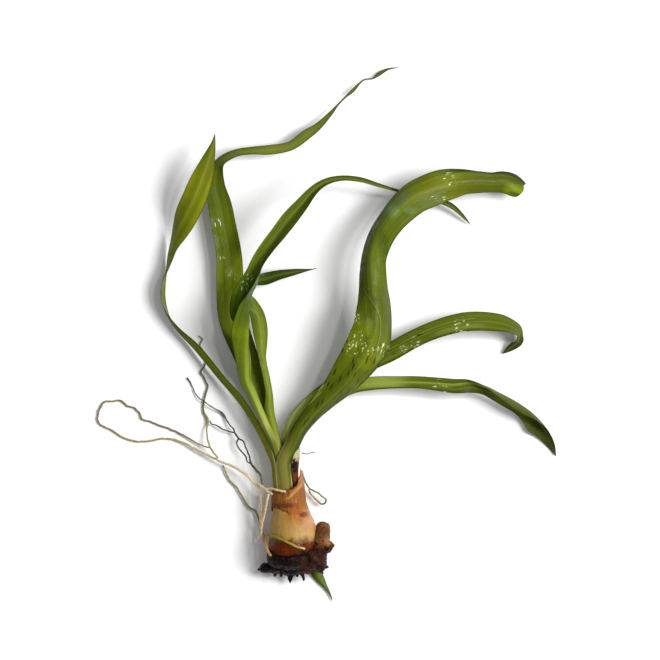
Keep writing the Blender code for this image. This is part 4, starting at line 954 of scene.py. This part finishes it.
def noise_value(place, scale, detail=2.0, roughness=0.5, distortion=0.0):
    values = {"Vector": place, "Scale": scale, "Detail": detail, "Roughness": roughness}
    return Reading(add_node("ShaderNodeTexNoise", {**values, "Distortion": distortion}).outputs["Fac"])


def place_mm(tree):
    """The place on the plant in millimetres: x, y and z, and all three as a vector."""
    place = Reading(tree.nodes.new("ShaderNodeTexCoord").outputs["Object"])
    made = add_node("ShaderNodeVectorMath", {0: place, "Scale": 1 / MM}, operation="SCALE")
    scaled = Reading(made.outputs[0])
    return (*split_place(scaled), scaled)


FLOAT = "NodeSocketFloat"
VECTOR = "NodeSocketVector"
COLOUR = "NodeSocketColor"


def new_group(name, inputs, outputs, kind=FLOAT):
    """A shader group with named inputs, each a plain value or a place where it is None, and named outputs."""
    tree = bpy.data.node_groups.new(name, "ShaderNodeTree")
    for label, value in inputs.items():
        socket_type = VECTOR if value is None else FLOAT
        socket = tree.interface.new_socket(label, in_out="INPUT", socket_type=socket_type)
        if value is not None:
            socket.default_value = value
    for label in outputs:
        tree.interface.new_socket(label, in_out="OUTPUT", socket_type=kind)
    given = {socket.name: Reading(socket) for socket in tree.nodes.new("NodeGroupInput").outputs}
    return tree, given, tree.nodes.new("NodeGroupOutput").inputs


def use_group(tree, name, **values):
    made = tree.nodes.new("ShaderNodeGroup")
    made.node_tree = GROUPS[name]
    for label, value in values.items():
        feed(made.inputs[label.replace("_", " ")], value)
    return {socket.name: Reading(socket) for socket in made.outputs}


def make_vein_group():
    """Parallel veins along a blade: fine lines, broad soft bands and their height."""
    tree, given, result = new_group(
        "parallel_veins", {"Across": 0.0, "Along": 0.0, "Seed": 0.0}, ["Fine Lines", "Broad Bands", "Height"]
    )
    across, along, seed = given["Across"], given["Along"], given["Seed"]
    fine = noise_value(join_place(across, along * 0.012, seed), 1.7, 3.0, 0.6)
    broad = noise_value(join_place(across, along * 0.02, seed), 0.33, 2.0, 0.55)
    feed(result["Fine Lines"], fine.step(0.35, 0.65))
    feed(result["Broad Bands"], broad.step(0.34, 0.66))
    feed(result["Height"], fine + broad * 0.8)
    return tree


def make_mottle_group():
    """Soft patches and a finer grain over any surface."""
    tree, given, result = new_group(
        "soft_mottle", {"Place": None, "Patch Size": 8.0, "Grain Size": 1.0}, ["Patches", "Grain"]
    )
    patches = noise_value(given["Place"], 1.0 / given["Patch Size"], 3.0, 0.6, 0.6)
    grain = noise_value(given["Place"], 1.0 / given["Grain Size"], 4.0, 0.65)
    feed(result["Patches"], patches.step(0.3, 0.7))
    feed(result["Grain"], grain.step(0.3, 0.7))
    return tree


def make_wet_group():
    """A film of water: where it lies thick the surface is smoother, and it stands in small ripples."""
    tree, given, result = new_group(
        "wet_film", {"Place": None, "Dry Roughness": 0.45, "Wet Roughness": 0.15},
        ["Roughness", "Wetness", "Ripple"]
    )
    wetness = noise_value(given["Place"], 0.16, 3.0, 0.6, 0.8).step(0.38, 0.6)
    drop = (given["Dry Roughness"] - given["Wet Roughness"]) * wetness
    feed(result["Roughness"], given["Dry Roughness"] - drop)
    feed(result["Wetness"], wetness)
    feed(result["Ripple"], noise_value(given["Place"], 0.9, 2.0, 0.5, 0.4))
    return tree


def make_speck_group():
    """Dark specks and short scratches over a place; less amount shows fewer."""
    tree, given, result = new_group("dark_specks", {"Place": None, "Amount": 0.5}, ["Specks"])
    cells = add_node("ShaderNodeTexVoronoi", {"Vector": given["Place"], "Scale": 0.24, "Randomness": 1.0})
    near = 1.0 - Reading(cells.outputs["Distance"]).step(0.14, 0.32)
    shown = (noise_value(given["Place"], 0.9, 3.0, 0.7) + given["Amount"]).step(0.95, 1.05)
    feed(result["Specks"], (near * shown).clamped())
    return tree


def make_painted_glint_group():
    """Broken bright streaks, drawn out along a blade: painted highlights where thick water catches the light.
    """
    tree, given, result = new_group("painted_wet_glints", {"Across": 0.0, "Along": 0.0, "Seed": 0.0}, ["Streaks"])
    drawn = join_place(given["Across"], given["Along"] * 0.26, given["Seed"])
    feed(result["Streaks"], noise_value(drawn, 0.7, 2.0, 0.6, 0.8).step(0.58, 0.68))
    return tree


def make_fibre_group():
    """Fine fibres drawn out along the plant, as on a papery tunic, a bulb scale or a root."""
    tree, given, result = new_group(
        "long_fibres", {"Place": None, "Fineness": 1.5, "Length": 14.0}, ["Fibres"]
    )
    x, y, z = split_place(given["Place"])
    fibres = noise_value(join_place(x, y / given["Length"], z), given["Fineness"], 3.0, 0.6, 0.3)
    feed(result["Fibres"], fibres.step(0.3, 0.7))
    return tree


def make_scale_group():
    """The bulb's flesh: ochre at its left, cream in the middle, pink at its right, with a rusty stain and a
    painted highlight low on its right.
    """
    tree, given, result = new_group("scale_tones", {"Place": None}, ["Colour"], COLOUR)
    place = given["Place"]
    x, y, z = split_place(place)
    mottle = use_group(tree, "mottle", Place=place, Patch_Size=7.0, Grain_Size=1.4)
    fibres = use_group(tree, "fibres", Place=place, Fineness=0.55, Length=9.0)["Fibres"]
    colour = blend(x.step(-14.0, 0.0), paint(164, 130, 62), mix_tones(fibres, (162, 128, 68), (176, 144, 84)))
    colour = lay(colour, x.step(2.0, 9.0) * y.step(-4.0, 4.0), (176, 130, 92), 0.85)
    # A painted highlight: paler cream low on the right.
    colour = lay(colour, x.step(2.0, 8.0) * y.step(2.0, -4.0), (178, 148, 96), 0.8)
    drawn = y + (fibres - 0.5) * 6.0
    colour = lay(colour, drawn.step(-1.0, 12.0) * abs(x - 1.0).step(9.0, 3.5), (158, 88, 30), 0.95)
    colour = lay(colour, z.step(12.0, 4.0), (120, 80, 36), 0.6)
    feed(result["Colour"], lay(colour, mottle["Patches"], (146, 104, 48), 0.3))
    return tree


# The shader groups by name; the last one uses the mottle and the fibres.
GROUPS = {}
GROUPS["veins"] = make_vein_group()
GROUPS["mottle"] = make_mottle_group()
GROUPS["wet"] = make_wet_group()
GROUPS["specks"] = make_speck_group()
GROUPS["glints"] = make_painted_glint_group()
GROUPS["fibres"] = make_fibre_group()
GROUPS["scale"] = make_scale_group()


def new_material(name, **constants):
    """A material, its tree and its shader, with the constants set on the shader's own sockets."""
    material = bpy.data.materials.new(name)
    material.use_nodes = True
    tree = material.node_tree
    shader = tree.nodes["Principled BSDF"]
    for label, value in constants.items():
        shader.inputs[label.replace("_", " ")].default_value = value
    return material, tree, shader


def add_bump(shader, height, depth, strength):
    bump = add_node("ShaderNodeBump", {"Height": height, "Strength": strength, "Distance": depth * MM})
    feed(shader.inputs["Normal"], Reading(bump.outputs["Normal"]))


def wet_skin(tree, shader, place, dry, wet, coat=None):
    """Water over a skin, which smooths it where it lies thick, and coats it where coat says how much."""
    film = use_group(tree, "wet", Place=place, Dry_Roughness=dry, Wet_Roughness=wet)
    feed(shader.inputs["Roughness"], film["Roughness"])
    if coat is not None:
        feed(shader.inputs["Coat Weight"], film["Wetness"] * coat)
    return film


def between(value, low, high, soft):
    """1 between low and high, falling to 0 over a soft border."""
    return value.step(low - soft, low + soft) * value.step(high + soft, high - soft)


def oval_mask(x, y, middle, radii, rough):
    """1 inside an oval round a middle, with a ragged soft border."""
    squares = ((x - middle[0]) / radii[0]) ** 2.0 + ((y - middle[1]) / radii[1]) ** 2.0
    return (squares + rough).step(2.1, 0.35)


def paint_spots(colour, spots, x, y, rough, breakup=None):
    """Lays ragged oval spots over the colour, each broken up where breakup says how much."""
    for spot_x, spot_y, radius_x, radius_y, tone, amount in spots:
        mask = oval_mask(x, y, (spot_x, spot_y), (radius_x, radius_y), rough)
        if breakup is not None:
            mask = (mask * (0.3 + breakup)).clamped()
        colour = lay(colour, mask, tone, amount)
    return colour


def paint_patches(colour, patches, share, across, breakup):
    """Lays the patches of a look over the colour, each between two places along and across the blade."""
    for share_low, share_high, across_low, across_high, tone, amount in patches:
        along_mask = between(share, share_low, share_high, min(0.03, (share_high - share_low) / 4))
        broken = along_mask * between(across, across_low, across_high, 0.7) * (0.55 + breakup * 0.6)
        colour = blend((broken * amount).clamped(), colour, paint(*tone))
    return colour


def line_over(share, places):
    """A line drawn over the blade: how far across it lies at each share of the length."""
    across = places[0][1]
    for (share_a, across_a), (share_b, across_b) in zip(places[:-1], places[1:]):
        across = across + remap(share, share_a, share_b, across_b - across_a)
    return across


def paint_lines(colour, lines, share, across):
    """Lays creases and streaks over the colour, and gives the height of the folds that they make."""
    height = 0.0
    for places, half_width, tone, amount, fold in lines:
        off = across - line_over(share, places)
        run = between(share, places[0][0], places[-1][0], 0.008)
        colour = lay(colour, abs(off).step(half_width * 1.6, half_width * 0.4) * run, tone, amount)
        if fold:
            height = height + off.step(-0.9, 0.9) * run * fold
    return colour, height


def painted_glint_mask(name, x, y, streaks):
    """Where painted highlights lie on a leaf: broken streaks inside soft ovals round its wet spots."""
    mask = 0.0
    for spot_x, spot_y, _, spread, _ in WET_AND_GLINT_SPOTS.get(name, ()):
        mask = maths("MAXIMUM", mask, oval_mask(x, y, (spot_x, spot_y), (spread * 0.9, spread * 1.1), 0.0))
    return mask * streaks


def leaf_material(name, look, seed):
    """Wet strap-leaf skin: toned along the leaf, veined and mottled, with a dark margin, pale at the neck,
    with painted highlights, sheen and shade.
    """
    material, tree, shader = new_material(
        f"leaf_skin_{name}", Coat_Roughness=0.12, Coat_IOR=1.35, IOR=1.36, Specular_IOR_Level=0.09
    )
    share, across, along = (read_value(tree, label) for label in ("share", "across_mm", "along_mm"))
    x, y, _, place = place_mm(tree)
    back = colour_track(share, [(s, c) for s, c, _ in look["tones"]])
    front = colour_track(share, [(s, c) for s, _, c in look["tones"]])
    skin = tinted(blend(read_value(tree, "outer_face"), front, back), look["depth"])

    veins = use_group(tree, "veins", Across=across, Along=along, Seed=seed)
    light_band = tinted(skin, (1.20, 1.16, 1.05))
    banded = blend(veins["Broad Bands"], tinted(skin, (0.76, 0.80, 0.66)), light_band)
    lined = blend(veins["Fine Lines"] * 0.35, banded, light_band)
    mottle = use_group(tree, "mottle", Place=place, Patch_Size=9.0, Grain_Size=1.6)
    patched = blend(mottle["Patches"] * 0.7, lined, tinted(lined, (1.28, 1.16, 0.72)))
    ribbed = lay(patched, abs(across).step(1.5, 0.2), MIDRIB_TONE, 0.12)
    # The patches, spots and lines lay the leaf's own marks, and also painted highlights, painted sheen and
    # painted shade.
    painted = paint_patches(ribbed, look.get("patches", ()), share, across, veins["Fine Lines"])
    spotted = paint_spots(painted, look.get("spots", ()), x, y, mottle["Patches"], veins["Fine Lines"])
    creased, folds = paint_lines(spotted, look.get("lines", ()), share, across)

    low, high, amount = look.get("specks", (0.0, 1.0, 0.36))
    slanted = join_place(across * 1.9 + along * 0.55, along * 0.34, seed)
    specks = use_group(tree, "specks", Place=slanted, Amount=amount)["Specks"]
    specked = lay(creased, specks * between(share, low, high, 0.03), SPECK_TONE, 0.9)
    edge_tone = mix_tones(share.step(0.04, 0.16), NECK_EDGE_TONE, EDGE_TONE)
    darkening = 0.6 + share.step(0.92, 0.97) * 0.35
    edged = blend(read_value(tree, "margin_mm").step(0.9, 0.1) * darkening, specked, edge_tone)
    # Painted highlights: near-white streaks over the wet spots, where the coat is also raised.
    streaks = use_group(tree, "glints", Across=across, Along=along, Seed=seed)["Streaks"]
    glints = painted_glint_mask(name, x, y, streaks)
    feed(shader.inputs["Base Color"], lay(edged, glints, PAINTED_GLINT_TONE, 0.8))

    water = wet_skin(tree, shader, place, dry=0.5, wet=0.24)
    film = water["Wetness"] * 0.07 * share.step(0.06, 0.16)
    feed(shader.inputs["Coat Weight"], (film + glints * 0.8).clamped())
    height = veins["Height"] + water["Ripple"] * 1.2 + folds
    add_bump(shader, height, depth=0.4, strength=0.6)
    return material


def build_leaves():
    for seed, name in enumerate(LEAVES):
        look = LEAF_LOOKS[name]
        stations, crease = leaf_stations(name)
        crease = look.get("crease", crease)
        material = leaf_material(name, look, seed * 3.7)
        torn_end = look.get("torn_end", ())
        wave = seed * 1.9 + 0.4
        blade = build_blade(
            name, stations, crease, look["ripple"], wave, material, torn_end=torn_end
        )
        if name in WET_AND_GLINT_SPOTS:
            build_beads(name, blade, WET_AND_GLINT_SPOTS[name])
    look = LEAF_LOOKS["basal_leaf"]
    material = leaf_material("basal_leaf", look, 31.0)
    build_blade("basal_leaf", BASAL_LEAF, 0.3, look["ripple"], 5.0, material, sheathed=False)


def water_material():
    material, tree, shader = new_material(
        "water_bead", Base_Color=(0.80, 0.86, 0.55, 1.0), Transmission_Weight=0.35, Roughness=0.08, IOR=1.36,
        Specular_IOR_Level=0.8
    )
    add_bump(shader, noise_value(place_mm(tree)[3], 1.6, 1.0, 0.5), depth=0.08, strength=0.4)
    return material


def build_beads(name, blade, clusters):
    """Small beads of water that sit on the upper side of a blade, drawn out along it."""
    chance = random.Random(len(name) * 17)
    spots = np.array([v.co for v in blade.data.vertices]) / MM
    normals = np.array([v.normal for v in blade.data.vertices])
    ring = 2 * LEAF_COLUMNS
    work = bmesh.new()
    for x, y, count, spread, length in clusters:
        near = np.hypot(spots[:, 0] - x, spots[:, 1] - y) < spread
        chosen = np.flatnonzero(near & (normals[:, 2] > 0.25))
        chosen = [i for i in chosen if ring < i < len(spots) - 2 * ring]
        if not chosen:
            continue
        for _ in range(count):
            i = chance.choice(chosen)
            tangent = unit(spots[i + ring] - spots[i - ring])
            size = chance.uniform(0.55, 1.15)
            axes = Matrix((
                (*(tangent * length * size * 0.5 * MM), 0.0),
                (*(np.cross(tangent, normals[i]) * BEAD_HALF_WIDTH * size * MM), 0.0),
                (*(normals[i] * BEAD_HEIGHT * size * MM), 0.0),
                (0.0, 0.0, 0.0, 1.0),
            )).transposed()
            axes.translation = Vector(spots[i] * MM)
            bmesh.ops.create_icosphere(work, subdivisions=2, radius=1.0, matrix=axes)
    beads = bpy.data.meshes.new(f"water_beads_{name}")
    work.to_mesh(beads)
    work.free()
    beads.materials.append(WATER)
    beads.shade_smooth()
    piece = put_object(f"water_beads_{name}", beads)
    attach(piece, "root")


def bulb_profile(y):
    """Middle x and z, half width and half height of the bulb at y, on a smooth curve through its stations."""
    stations = np.array(BULB_STATIONS)
    knots = stations[:, 0]
    slopes = np.gradient(stations[:, 1:], knots, axis=0)
    index = int(np.clip(np.searchsorted(knots, y, side="right") - 1, 0, len(knots) - 2))
    span = knots[index + 1] - knots[index]
    low, high = stations[index, 1:], stations[index + 1, 1:]
    value = curve_between(low, high, slopes[index], slopes[index + 1], span, (y - knots[index]) / span)
    return np.minimum(value, np.maximum(low, high))


def build_bulb():
    """The bulb with shallow ribs down its scales, and small dents."""
    heights = np.arange(BULB_STATIONS[0][0], BULB_TOP, BULB_STEP)
    points = []
    for y in heights:
        x, z, wide, high = bulb_profile(y)
        for k in range(BULB_SIDES):
            turn = 2 * math.pi * k / BULB_SIDES
            out = Vector((math.sin(turn), y / 16, math.cos(turn)))
            rib = 0.1 * math.sin(9 * turn + y * 0.05) + 0.07 * math.sin(17 * turn + 1.3)
            dent = DENT_DEPTH * noise.noise(out * 2.3) - DENT_DEPTH / 2
            reach = wide + rib + dent
            rise = high + rib + dent
            points.append((x + reach * math.sin(turn), y, z + rise * math.cos(turn)))
    faces = ring_faces(len(heights), BULB_SIDES)
    faces += [ring_cap(0, BULB_SIDES), ring_cap(len(heights) - 1, BULB_SIDES)]
    new_piece("bulb_scales", points, faces, bulb_material(), "bulb")


def bulb_material():
    """Fleshy scale that turns brown at its foot, where the crust grows over it."""
    material, tree, shader = new_material(
        "bulb_scale", Coat_Roughness=0.12, IOR=1.4, Specular_IOR_Level=0.12, Subsurface_Weight=0.12,
        Subsurface_Scale=0.004
    )
    x, y, _, place = place_mm(tree)
    mottle = use_group(tree, "mottle", Place=place, Patch_Size=6.0, Grain_Size=1.1)
    fibres = use_group(tree, "fibres", Place=place, Fineness=0.8, Length=9.0)["Fibres"]
    flesh = use_group(tree, "scale", Place=place)["Colour"]
    level = y + (mottle["Patches"] - 0.5) * 3.0
    bark = mix_tones(mottle["Grain"], (60, 16, 4), (106, 44, 8))
    browned = blend(level.step(-2.5, -9.5), flesh, bark)
    crust = (level - (x.step(0.0, 12.0) * 4.0 - 17.0)).step(2.0, -0.8)
    black = mix_tones(mottle["Grain"], (12, 6, 5), (34, 16, 11))
    feed(shader.inputs["Base Color"], blend(crust, browned, black))
    wet_skin(tree, shader, place, dry=0.46, wet=0.22, coat=0.2 - crust * 0.16)
    add_bump(shader, fibres * 0.5 + mottle["Grain"] * (crust + 0.2), depth=0.4, strength=0.5)
    return material


def edge_y(edge, angle):
    """The y of the tunic's hem or rim at an angle, smoothed between its given points."""
    angles = [a for a, _ in edge]
    heights = [y for _, y in edge]
    return float(np.mean([np.interp((angle + d + 180) % 360 - 180, angles, heights) for d in (-12, 0, 12)]))


def tunic_point(angle, y, grow):
    """A point over the bulb's skin. Past the shoulder the tunic stands up round the neck."""
    stations = np.array(BULB_STATIONS)
    x, z, wide, high = (np.interp(min(y, SHOULDER_Y), stations[:, 0], stations[:, k]) for k in (1, 2, 3, 4))
    over = max(0.0, y - SHOULDER_Y)
    x -= 0.03 * over
    turn = math.radians(angle)
    reach = 1.0 - 0.006 * over - 0.010 * max(0.0, over - 10.0)
    return (x + (wide * reach + grow) * math.sin(turn), y, z + (high * reach + grow) * math.cos(turn))


def tunic_fold(angle, y):
    """How far the tunic stands out along the slanting fold over its front, and in its fine wrinkles."""
    turn = math.radians(angle)
    line = 11.0 * math.sin(turn) - 3.0 - (-4.7 + (y - 19.3) * 0.95)
    on_top = max(0.0, math.cos(turn))
    ends = max(0.0, 1 - ((y - 24.0) / 6.5) ** 2)
    fold = 0.75 * math.exp(-((line / 1.5) ** 2)) * ends * on_top
    dip = -0.35 * math.exp(-(((line - 2.8) / 1.4) ** 2)) * ends * on_top
    return fold + dip + 0.22 * noise.noise(Vector((math.sin(turn) * 5, y / 7, math.cos(turn) * 5)))


def hem_growth(angle, share):
    """How much of its thickness the tunic has: at its right it thins out and merges into the bulb."""
    merged = limited((angle + 30) / 40) * limited((130 - angle) / 20)
    return 1.0 - merged * (1.0 - min(1.0, share / 0.3))


def ragged(angle, long_step, long_seed, short_amount, short_step, short_seed):
    """How ragged an edge of the tunic is at an angle: long tears and shorter ones."""
    long_tear = noise.noise(Vector((angle / long_step, long_seed, 0.0)))
    return long_tear + short_amount * noise.noise(Vector((angle / short_step, short_seed, 0.0)))


def build_tunic():
    """A thin torn shell, ragged along its hem and rim."""
    levels = np.linspace(0.0, 1.0, TUNIC_LEVELS)
    points = []
    for outside in (True, False):
        for share in levels if outside else levels[::-1]:
            for k in range(TUNIC_SIDES):
                angle = (k + 0.5) * 360 / TUNIC_SIDES - 180
                low = edge_y(TUNIC_HEM, angle) + 0.9 * ragged(angle, 9, 3.3, 0.6, 3.2, 7.7)
                high = edge_y(TUNIC_RIM, angle) + 0.8 * ragged(angle, 7, 13.1, 0.7, 2.6, 1.7) - 0.4
                y = low + share * (high - low)
                rounded = math.sqrt(max(0.0, min(1.0, share * 14, (1 - share) * 14)))
                thick = TUNIC_THICKNESS * (0.25 + 0.75 * rounded) if outside else 0.0
                grown = hem_growth(angle, share)
                stand = (TUNIC_GAP + thick) * grown - 0.15 * (1 - grown)
                points.append(tunic_point(angle, y, stand + tunic_fold(angle, y) * min(1, share * 5)))
    faces = ring_faces(2 * TUNIC_LEVELS, TUNIC_SIDES, closed=True)
    new_piece("tunic_shell", points, faces, tunic_material(), "tunic")


def tunic_material():
    """Brown papery tunic: a tan fold over its front, a red-brown hem at its left, the flesh at its right."""
    material, tree, shader = new_material("tunic_paper", Coat_Roughness=0.16, IOR=1.4, Specular_IOR_Level=0.1)
    x, y, z, place = place_mm(tree)
    mottle = use_group(tree, "mottle", Place=place, Patch_Size=5.0, Grain_Size=0.9)
    fibres = use_group(tree, "fibres", Place=place, Fineness=0.9, Length=9.0)["Fibres"]
    patches, grain = mottle["Patches"], mottle["Grain"]
    dark = mix_tones(fibres, (92, 52, 12), (128, 78, 26))
    light = mix_tones(fibres, (118, 66, 26), (142, 88, 42))
    colour = lay(blend(x.step(-7.0, 3.0), dark, light), patches, (156, 102, 44), 0.35)
    fold = abs(x - (y - 24.6) * 1.02).step(2.4, 0.6)
    colour = lay(colour, fold * (y.step(19.0, 22.0) * z.step(17.0, 22.0)), (178, 130, 76), 0.8)
    hem_line = abs(y - 16.6).step(2.6, 0.4) * x.step(1.5, -2.0)
    colour = lay(colour, hem_line, (92, 40, 12), 0.85)
    flesh = use_group(tree, "scale", Place=place)["Colour"]
    drawn = y + (fibres - 0.5) * 5.0
    colour = blend(drawn.step(18.0, 11.0) * x.step(-4.0, 2.0), colour, flesh)
    colour = paint_spots(colour, TUNIC_STAINS, x, y, grain)
    colour = paint_spots(colour, TUNIC_STREAKS, x, y, patches)
    feed(shader.inputs["Base Color"], lay(colour, (y + patches).step(31.0, 35.0), (176, 124, 92), 0.5))
    wet_skin(tree, shader, place, dry=0.5, wet=0.26, coat=0.14)
    add_bump(shader, fibres + grain * 0.5, depth=0.5, strength=0.6)
    return material


def dried_material():
    """Dried leaf base: brown at its foot, nearly black where it broke, and a pale green-white rim above."""
    material, tree, shader = new_material("dried_leaf_base_skin", IOR=1.4, Specular_IOR_Level=0.15)
    _, y, _, place = place_mm(tree)
    mottle = use_group(tree, "mottle", Place=place, Patch_Size=3.0, Grain_Size=0.6)
    level = (y + (mottle["Patches"] * 4.0 - 29.6)) / 27.0
    tones = colour_track(level, DRIED_TONES)
    feed(shader.inputs["Base Color"], tinted(tones, (0.3, 0.24, 0.16), mottle["Grain"] * 0.35))
    wet_skin(tree, shader, place, dry=0.55, wet=0.3)
    add_bump(shader, mottle["Grain"], depth=0.4, strength=0.7)
    return material


def add_lump(work, place, radii):
    made = bmesh.ops.create_icosphere(work, subdivisions=3, radius=1.0)["verts"]
    for v in made:
        v.co = [(c + r * p) * MM for c, r, p in zip(place, radii, v.co)]


def build_basal_plate():
    """Lumps and stumps fused, then roughened with knobs and pits."""
    work = bmesh.new()
    for x, y, z, *radii in PLATE_LUMPS:
        add_lump(work, (x, y, z), radii)
    for start, end, start_radius, end_radius in STUMPS:
        for share in np.linspace(0, 1, 7):
            radius = start_radius + share * (end_radius - start_radius)
            add_lump(work, np.array(start) + share * (np.array(end) - np.array(start)), (radius,) * 3)
    mesh = bpy.data.meshes.new("basal_crust")
    work.to_mesh(mesh)
    work.free()
    piece = put_object("basal_crust", mesh)
    fuse = piece.modifiers.new("fuse", "REMESH")
    fuse.mode = "VOXEL"
    fuse.voxel_size = PLATE_VOXEL * MM
    depsgraph = bpy.context.evaluated_depsgraph_get()
    fused = bpy.data.meshes.new_from_object(piece.evaluated_get(depsgraph))
    piece.modifiers.clear()
    piece.data = fused
    for v in fused.vertices:
        spot = v.co / MM
        knobs = noise.noise(spot * 0.34) + 0.55 * noise.noise(spot * 0.8 + Vector((9, 2, 5)))
        pits = abs(noise.noise(spot * 0.55 + Vector((3, 8, 1))))
        moved = v.co + v.normal * (KNOB_HEIGHT * knobs - PIT_DEPTH * (0.35 - pits)) * MM
        v.co = (moved.x, moved.y, max(moved.z, FLOOR))
    fused.materials.clear()
    fused.materials.append(crust_material())
    fused.shade_smooth()
    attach(piece, "root")
    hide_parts("basal_plate")


def crust_material():
    """Wet basal crust: black, maroon to the right, with brown where it meets the bulb and an olive lump."""
    material, tree, shader = new_material(
        "basal_crust_skin", Coat_Roughness=0.3, IOR=1.35, Specular_IOR_Level=0.12
    )
    x, y, _, place = place_mm(tree)
    mottle = use_group(tree, "mottle", Place=place, Patch_Size=5.5, Grain_Size=1.2)
    patches, grain = mottle["Patches"], mottle["Grain"]
    black = mix_tones(grain, (10, 4, 3), (30, 14, 10))
    maroon = mix_tones(patches, (34, 14, 9), (62, 28, 18))
    colour = blend(x.step(2.0, 9.0) * 0.8, black, maroon)
    colour = paint_spots(colour, CRUST_STAINS, x, y, grain)
    olive = mix_tones(patches, (78, 46, 18), (112, 74, 32))
    colour = blend(x.step(12.5, 15.5) * (y + patches * 2.0).step(-12.0, -8.0), colour, olive)
    feed(shader.inputs["Base Color"], paint_spots(colour, LUMP_STAINS, x, y, grain))
    wet_skin(tree, shader, place, dry=0.48, wet=0.25, coat=0.08)
    add_bump(shader, grain, depth=0.6, strength=0.6)
    return material


def root_rings(route, seed, slim):
    """Rings round a root that wanders, swells at knots and thins between them."""
    rows = smooth_rows(route, ROOT_STEP)
    _, sides, normals = carried_frames(rows[:, :3])
    points = []
    for i, row in enumerate(rows):
        spot = Vector((i * ROOT_STEP / 3.1, seed, 0.0))
        ends = min(1.0, i / 4, (len(rows) - 1 - i) / 4)
        sway = noise.noise(spot) * sides[i] + noise.noise(spot + Vector((0, 0, 9))) * normals[i]
        wander = ROOT_SWAY * ends * sway
        knot = 1 + 0.22 * noise.noise(spot * 2.7 + Vector((5, 0, 0))) + 0.14 * noise.noise(spot * 6.1)
        radius = row[3] / 2 * slim * knot
        for k in range(ROOT_SIDES):
            turn = 2 * math.pi * k / ROOT_SIDES
            ridge = 1 + 0.07 * math.sin(3 * turn + i * 0.09)
            out = math.cos(turn) * sides[i] + math.sin(turn) * normals[i]
            points.append(row[:3] + wander + radius * ridge * out)
    return points, len(rows)


def build_roots():
    for seed, (name, route) in enumerate(ROOTS.items()):
        look = ROOT_LOOKS[name]
        points, faces, along = [], [], []
        for number, strand in enumerate([route] + SIDE_ROOTS.get(name, [])):
            made, rings = root_rings(strand, seed * 4.3 + number * 1.7, look["slim"])
            first = len(points)
            faces += ring_faces(rings, ROOT_SIDES, first)
            faces += [ring_cap(0, ROOT_SIDES, first), ring_cap(rings - 1, ROOT_SIDES, first)]
            points += made
            for i in range(rings):
                along += [i / rings if number == 0 else look["side_share"]] * ROOT_SIDES
        piece = new_piece(f"{name}_strand", points, faces, root_material(name, look), name)
        store_value(piece.data, "share", along)


def root_material(name, look):
    """Root skin, toned along the root, with dark flecks and paler patches."""
    material, tree, shader = new_material(
        f"root_skin_{name}", Coat_Roughness=0.2, IOR=1.4, Specular_IOR_Level=0.2
    )
    place = place_mm(tree)[3]
    mottle = use_group(tree, "mottle", Place=place, Patch_Size=3.5, Grain_Size=0.6)
    tone = colour_track(read_value(tree, "share"), look["tones"])
    shaded = tinted(tone, (0.55, 0.5, 0.42), mottle["Grain"] * 0.6)
    feed(shader.inputs["Base Color"], tinted(shaded, (1.35, 1.3, 1.15), mottle["Patches"] * 0.4))
    wet_skin(tree, shader, place, dry=0.55, wet=0.3, coat=0.3)
    add_bump(shader, mottle["Grain"], depth=0.3, strength=0.6)
    return material


def set_camera():
    data = bpy.data.cameras.new("camera")
    data.sensor_width = SENSOR_WIDTH
    data.lens = SENSOR_WIDTH * (CAMERA_HEIGHT - PLANT_MIDDLE) / PICTURE_SIDE
    data.clip_end = 20.0
    camera = put_object("camera", data)
    camera.location = (*PICTURE_MIDDLE, CAMERA_HEIGHT)
    bpy.context.scene.camera = camera


def add_panel(name, place, side, power):
    """A square area light that shines on the middle of the plant."""
    data = bpy.data.lights.new(name, "AREA")
    data.shape = "RECTANGLE"
    data.size = side
    data.size_y = side
    data.energy = power
    panel = put_object(name, data)
    panel.location = place
    way = Vector(LIGHT_TARGET) - panel.location
    panel.rotation_euler = way.to_track_quat("-Z", "Y").to_euler()


def make_sky():
    """An even pale sky, seen much darker in reflections, as by a plant on a table in a room."""
    world = bpy.data.worlds.new("pale_sky")
    world.use_nodes = True
    sky = world.node_tree.nodes["Background"]
    sky.inputs["Color"].default_value = (0.985, 0.99, 1.0, 1.0)
    mirrored = Reading(world.node_tree.nodes.new("ShaderNodeLightPath").outputs["Is Glossy Ray"])
    feed(sky.inputs["Strength"], SKY_STRENGTH - mirrored * (SKY_STRENGTH - SKY_REFLECTED))
    bpy.context.scene.world = world


def set_lights():
    """Soft daylight from the right, so that shadows fall to the left, and a small lamp for the wet glints."""
    for name, place, side, power in LIGHTS:
        add_panel(name, place, side, power)
    make_sky()
    bpy.context.scene.view_settings.view_transform = "Standard"


def build_floor():
    mesh = bpy.data.meshes.new("floor")
    corners = [(-1, -1), (1, -1), (1, 1), (-1, 1)]
    mesh.from_pydata([(x * FLOOR_REACH, y * FLOOR_REACH, 0) for x, y in corners], [], [(0, 1, 2, 3)])
    floor = put_object("floor", mesh)
    floor.location.z = -FLOOR_GAP
    material, _, _ = new_material(
        "floor_white", Base_Color=(0.86, 0.86, 0.86, 1.0), Roughness=0.9, Specular_IOR_Level=0.1
    )
    mesh.materials.append(material)


WATER = water_material()
build_bulb()
build_tunic()
build_basal_plate()
build_leaves()
build_blade("dried_leaf_base", DRIED_BASE, 0.2, 0.35, 2.0, dried_material(), sheathed=False)
build_roots()
set_camera()
set_lights()
build_floor()
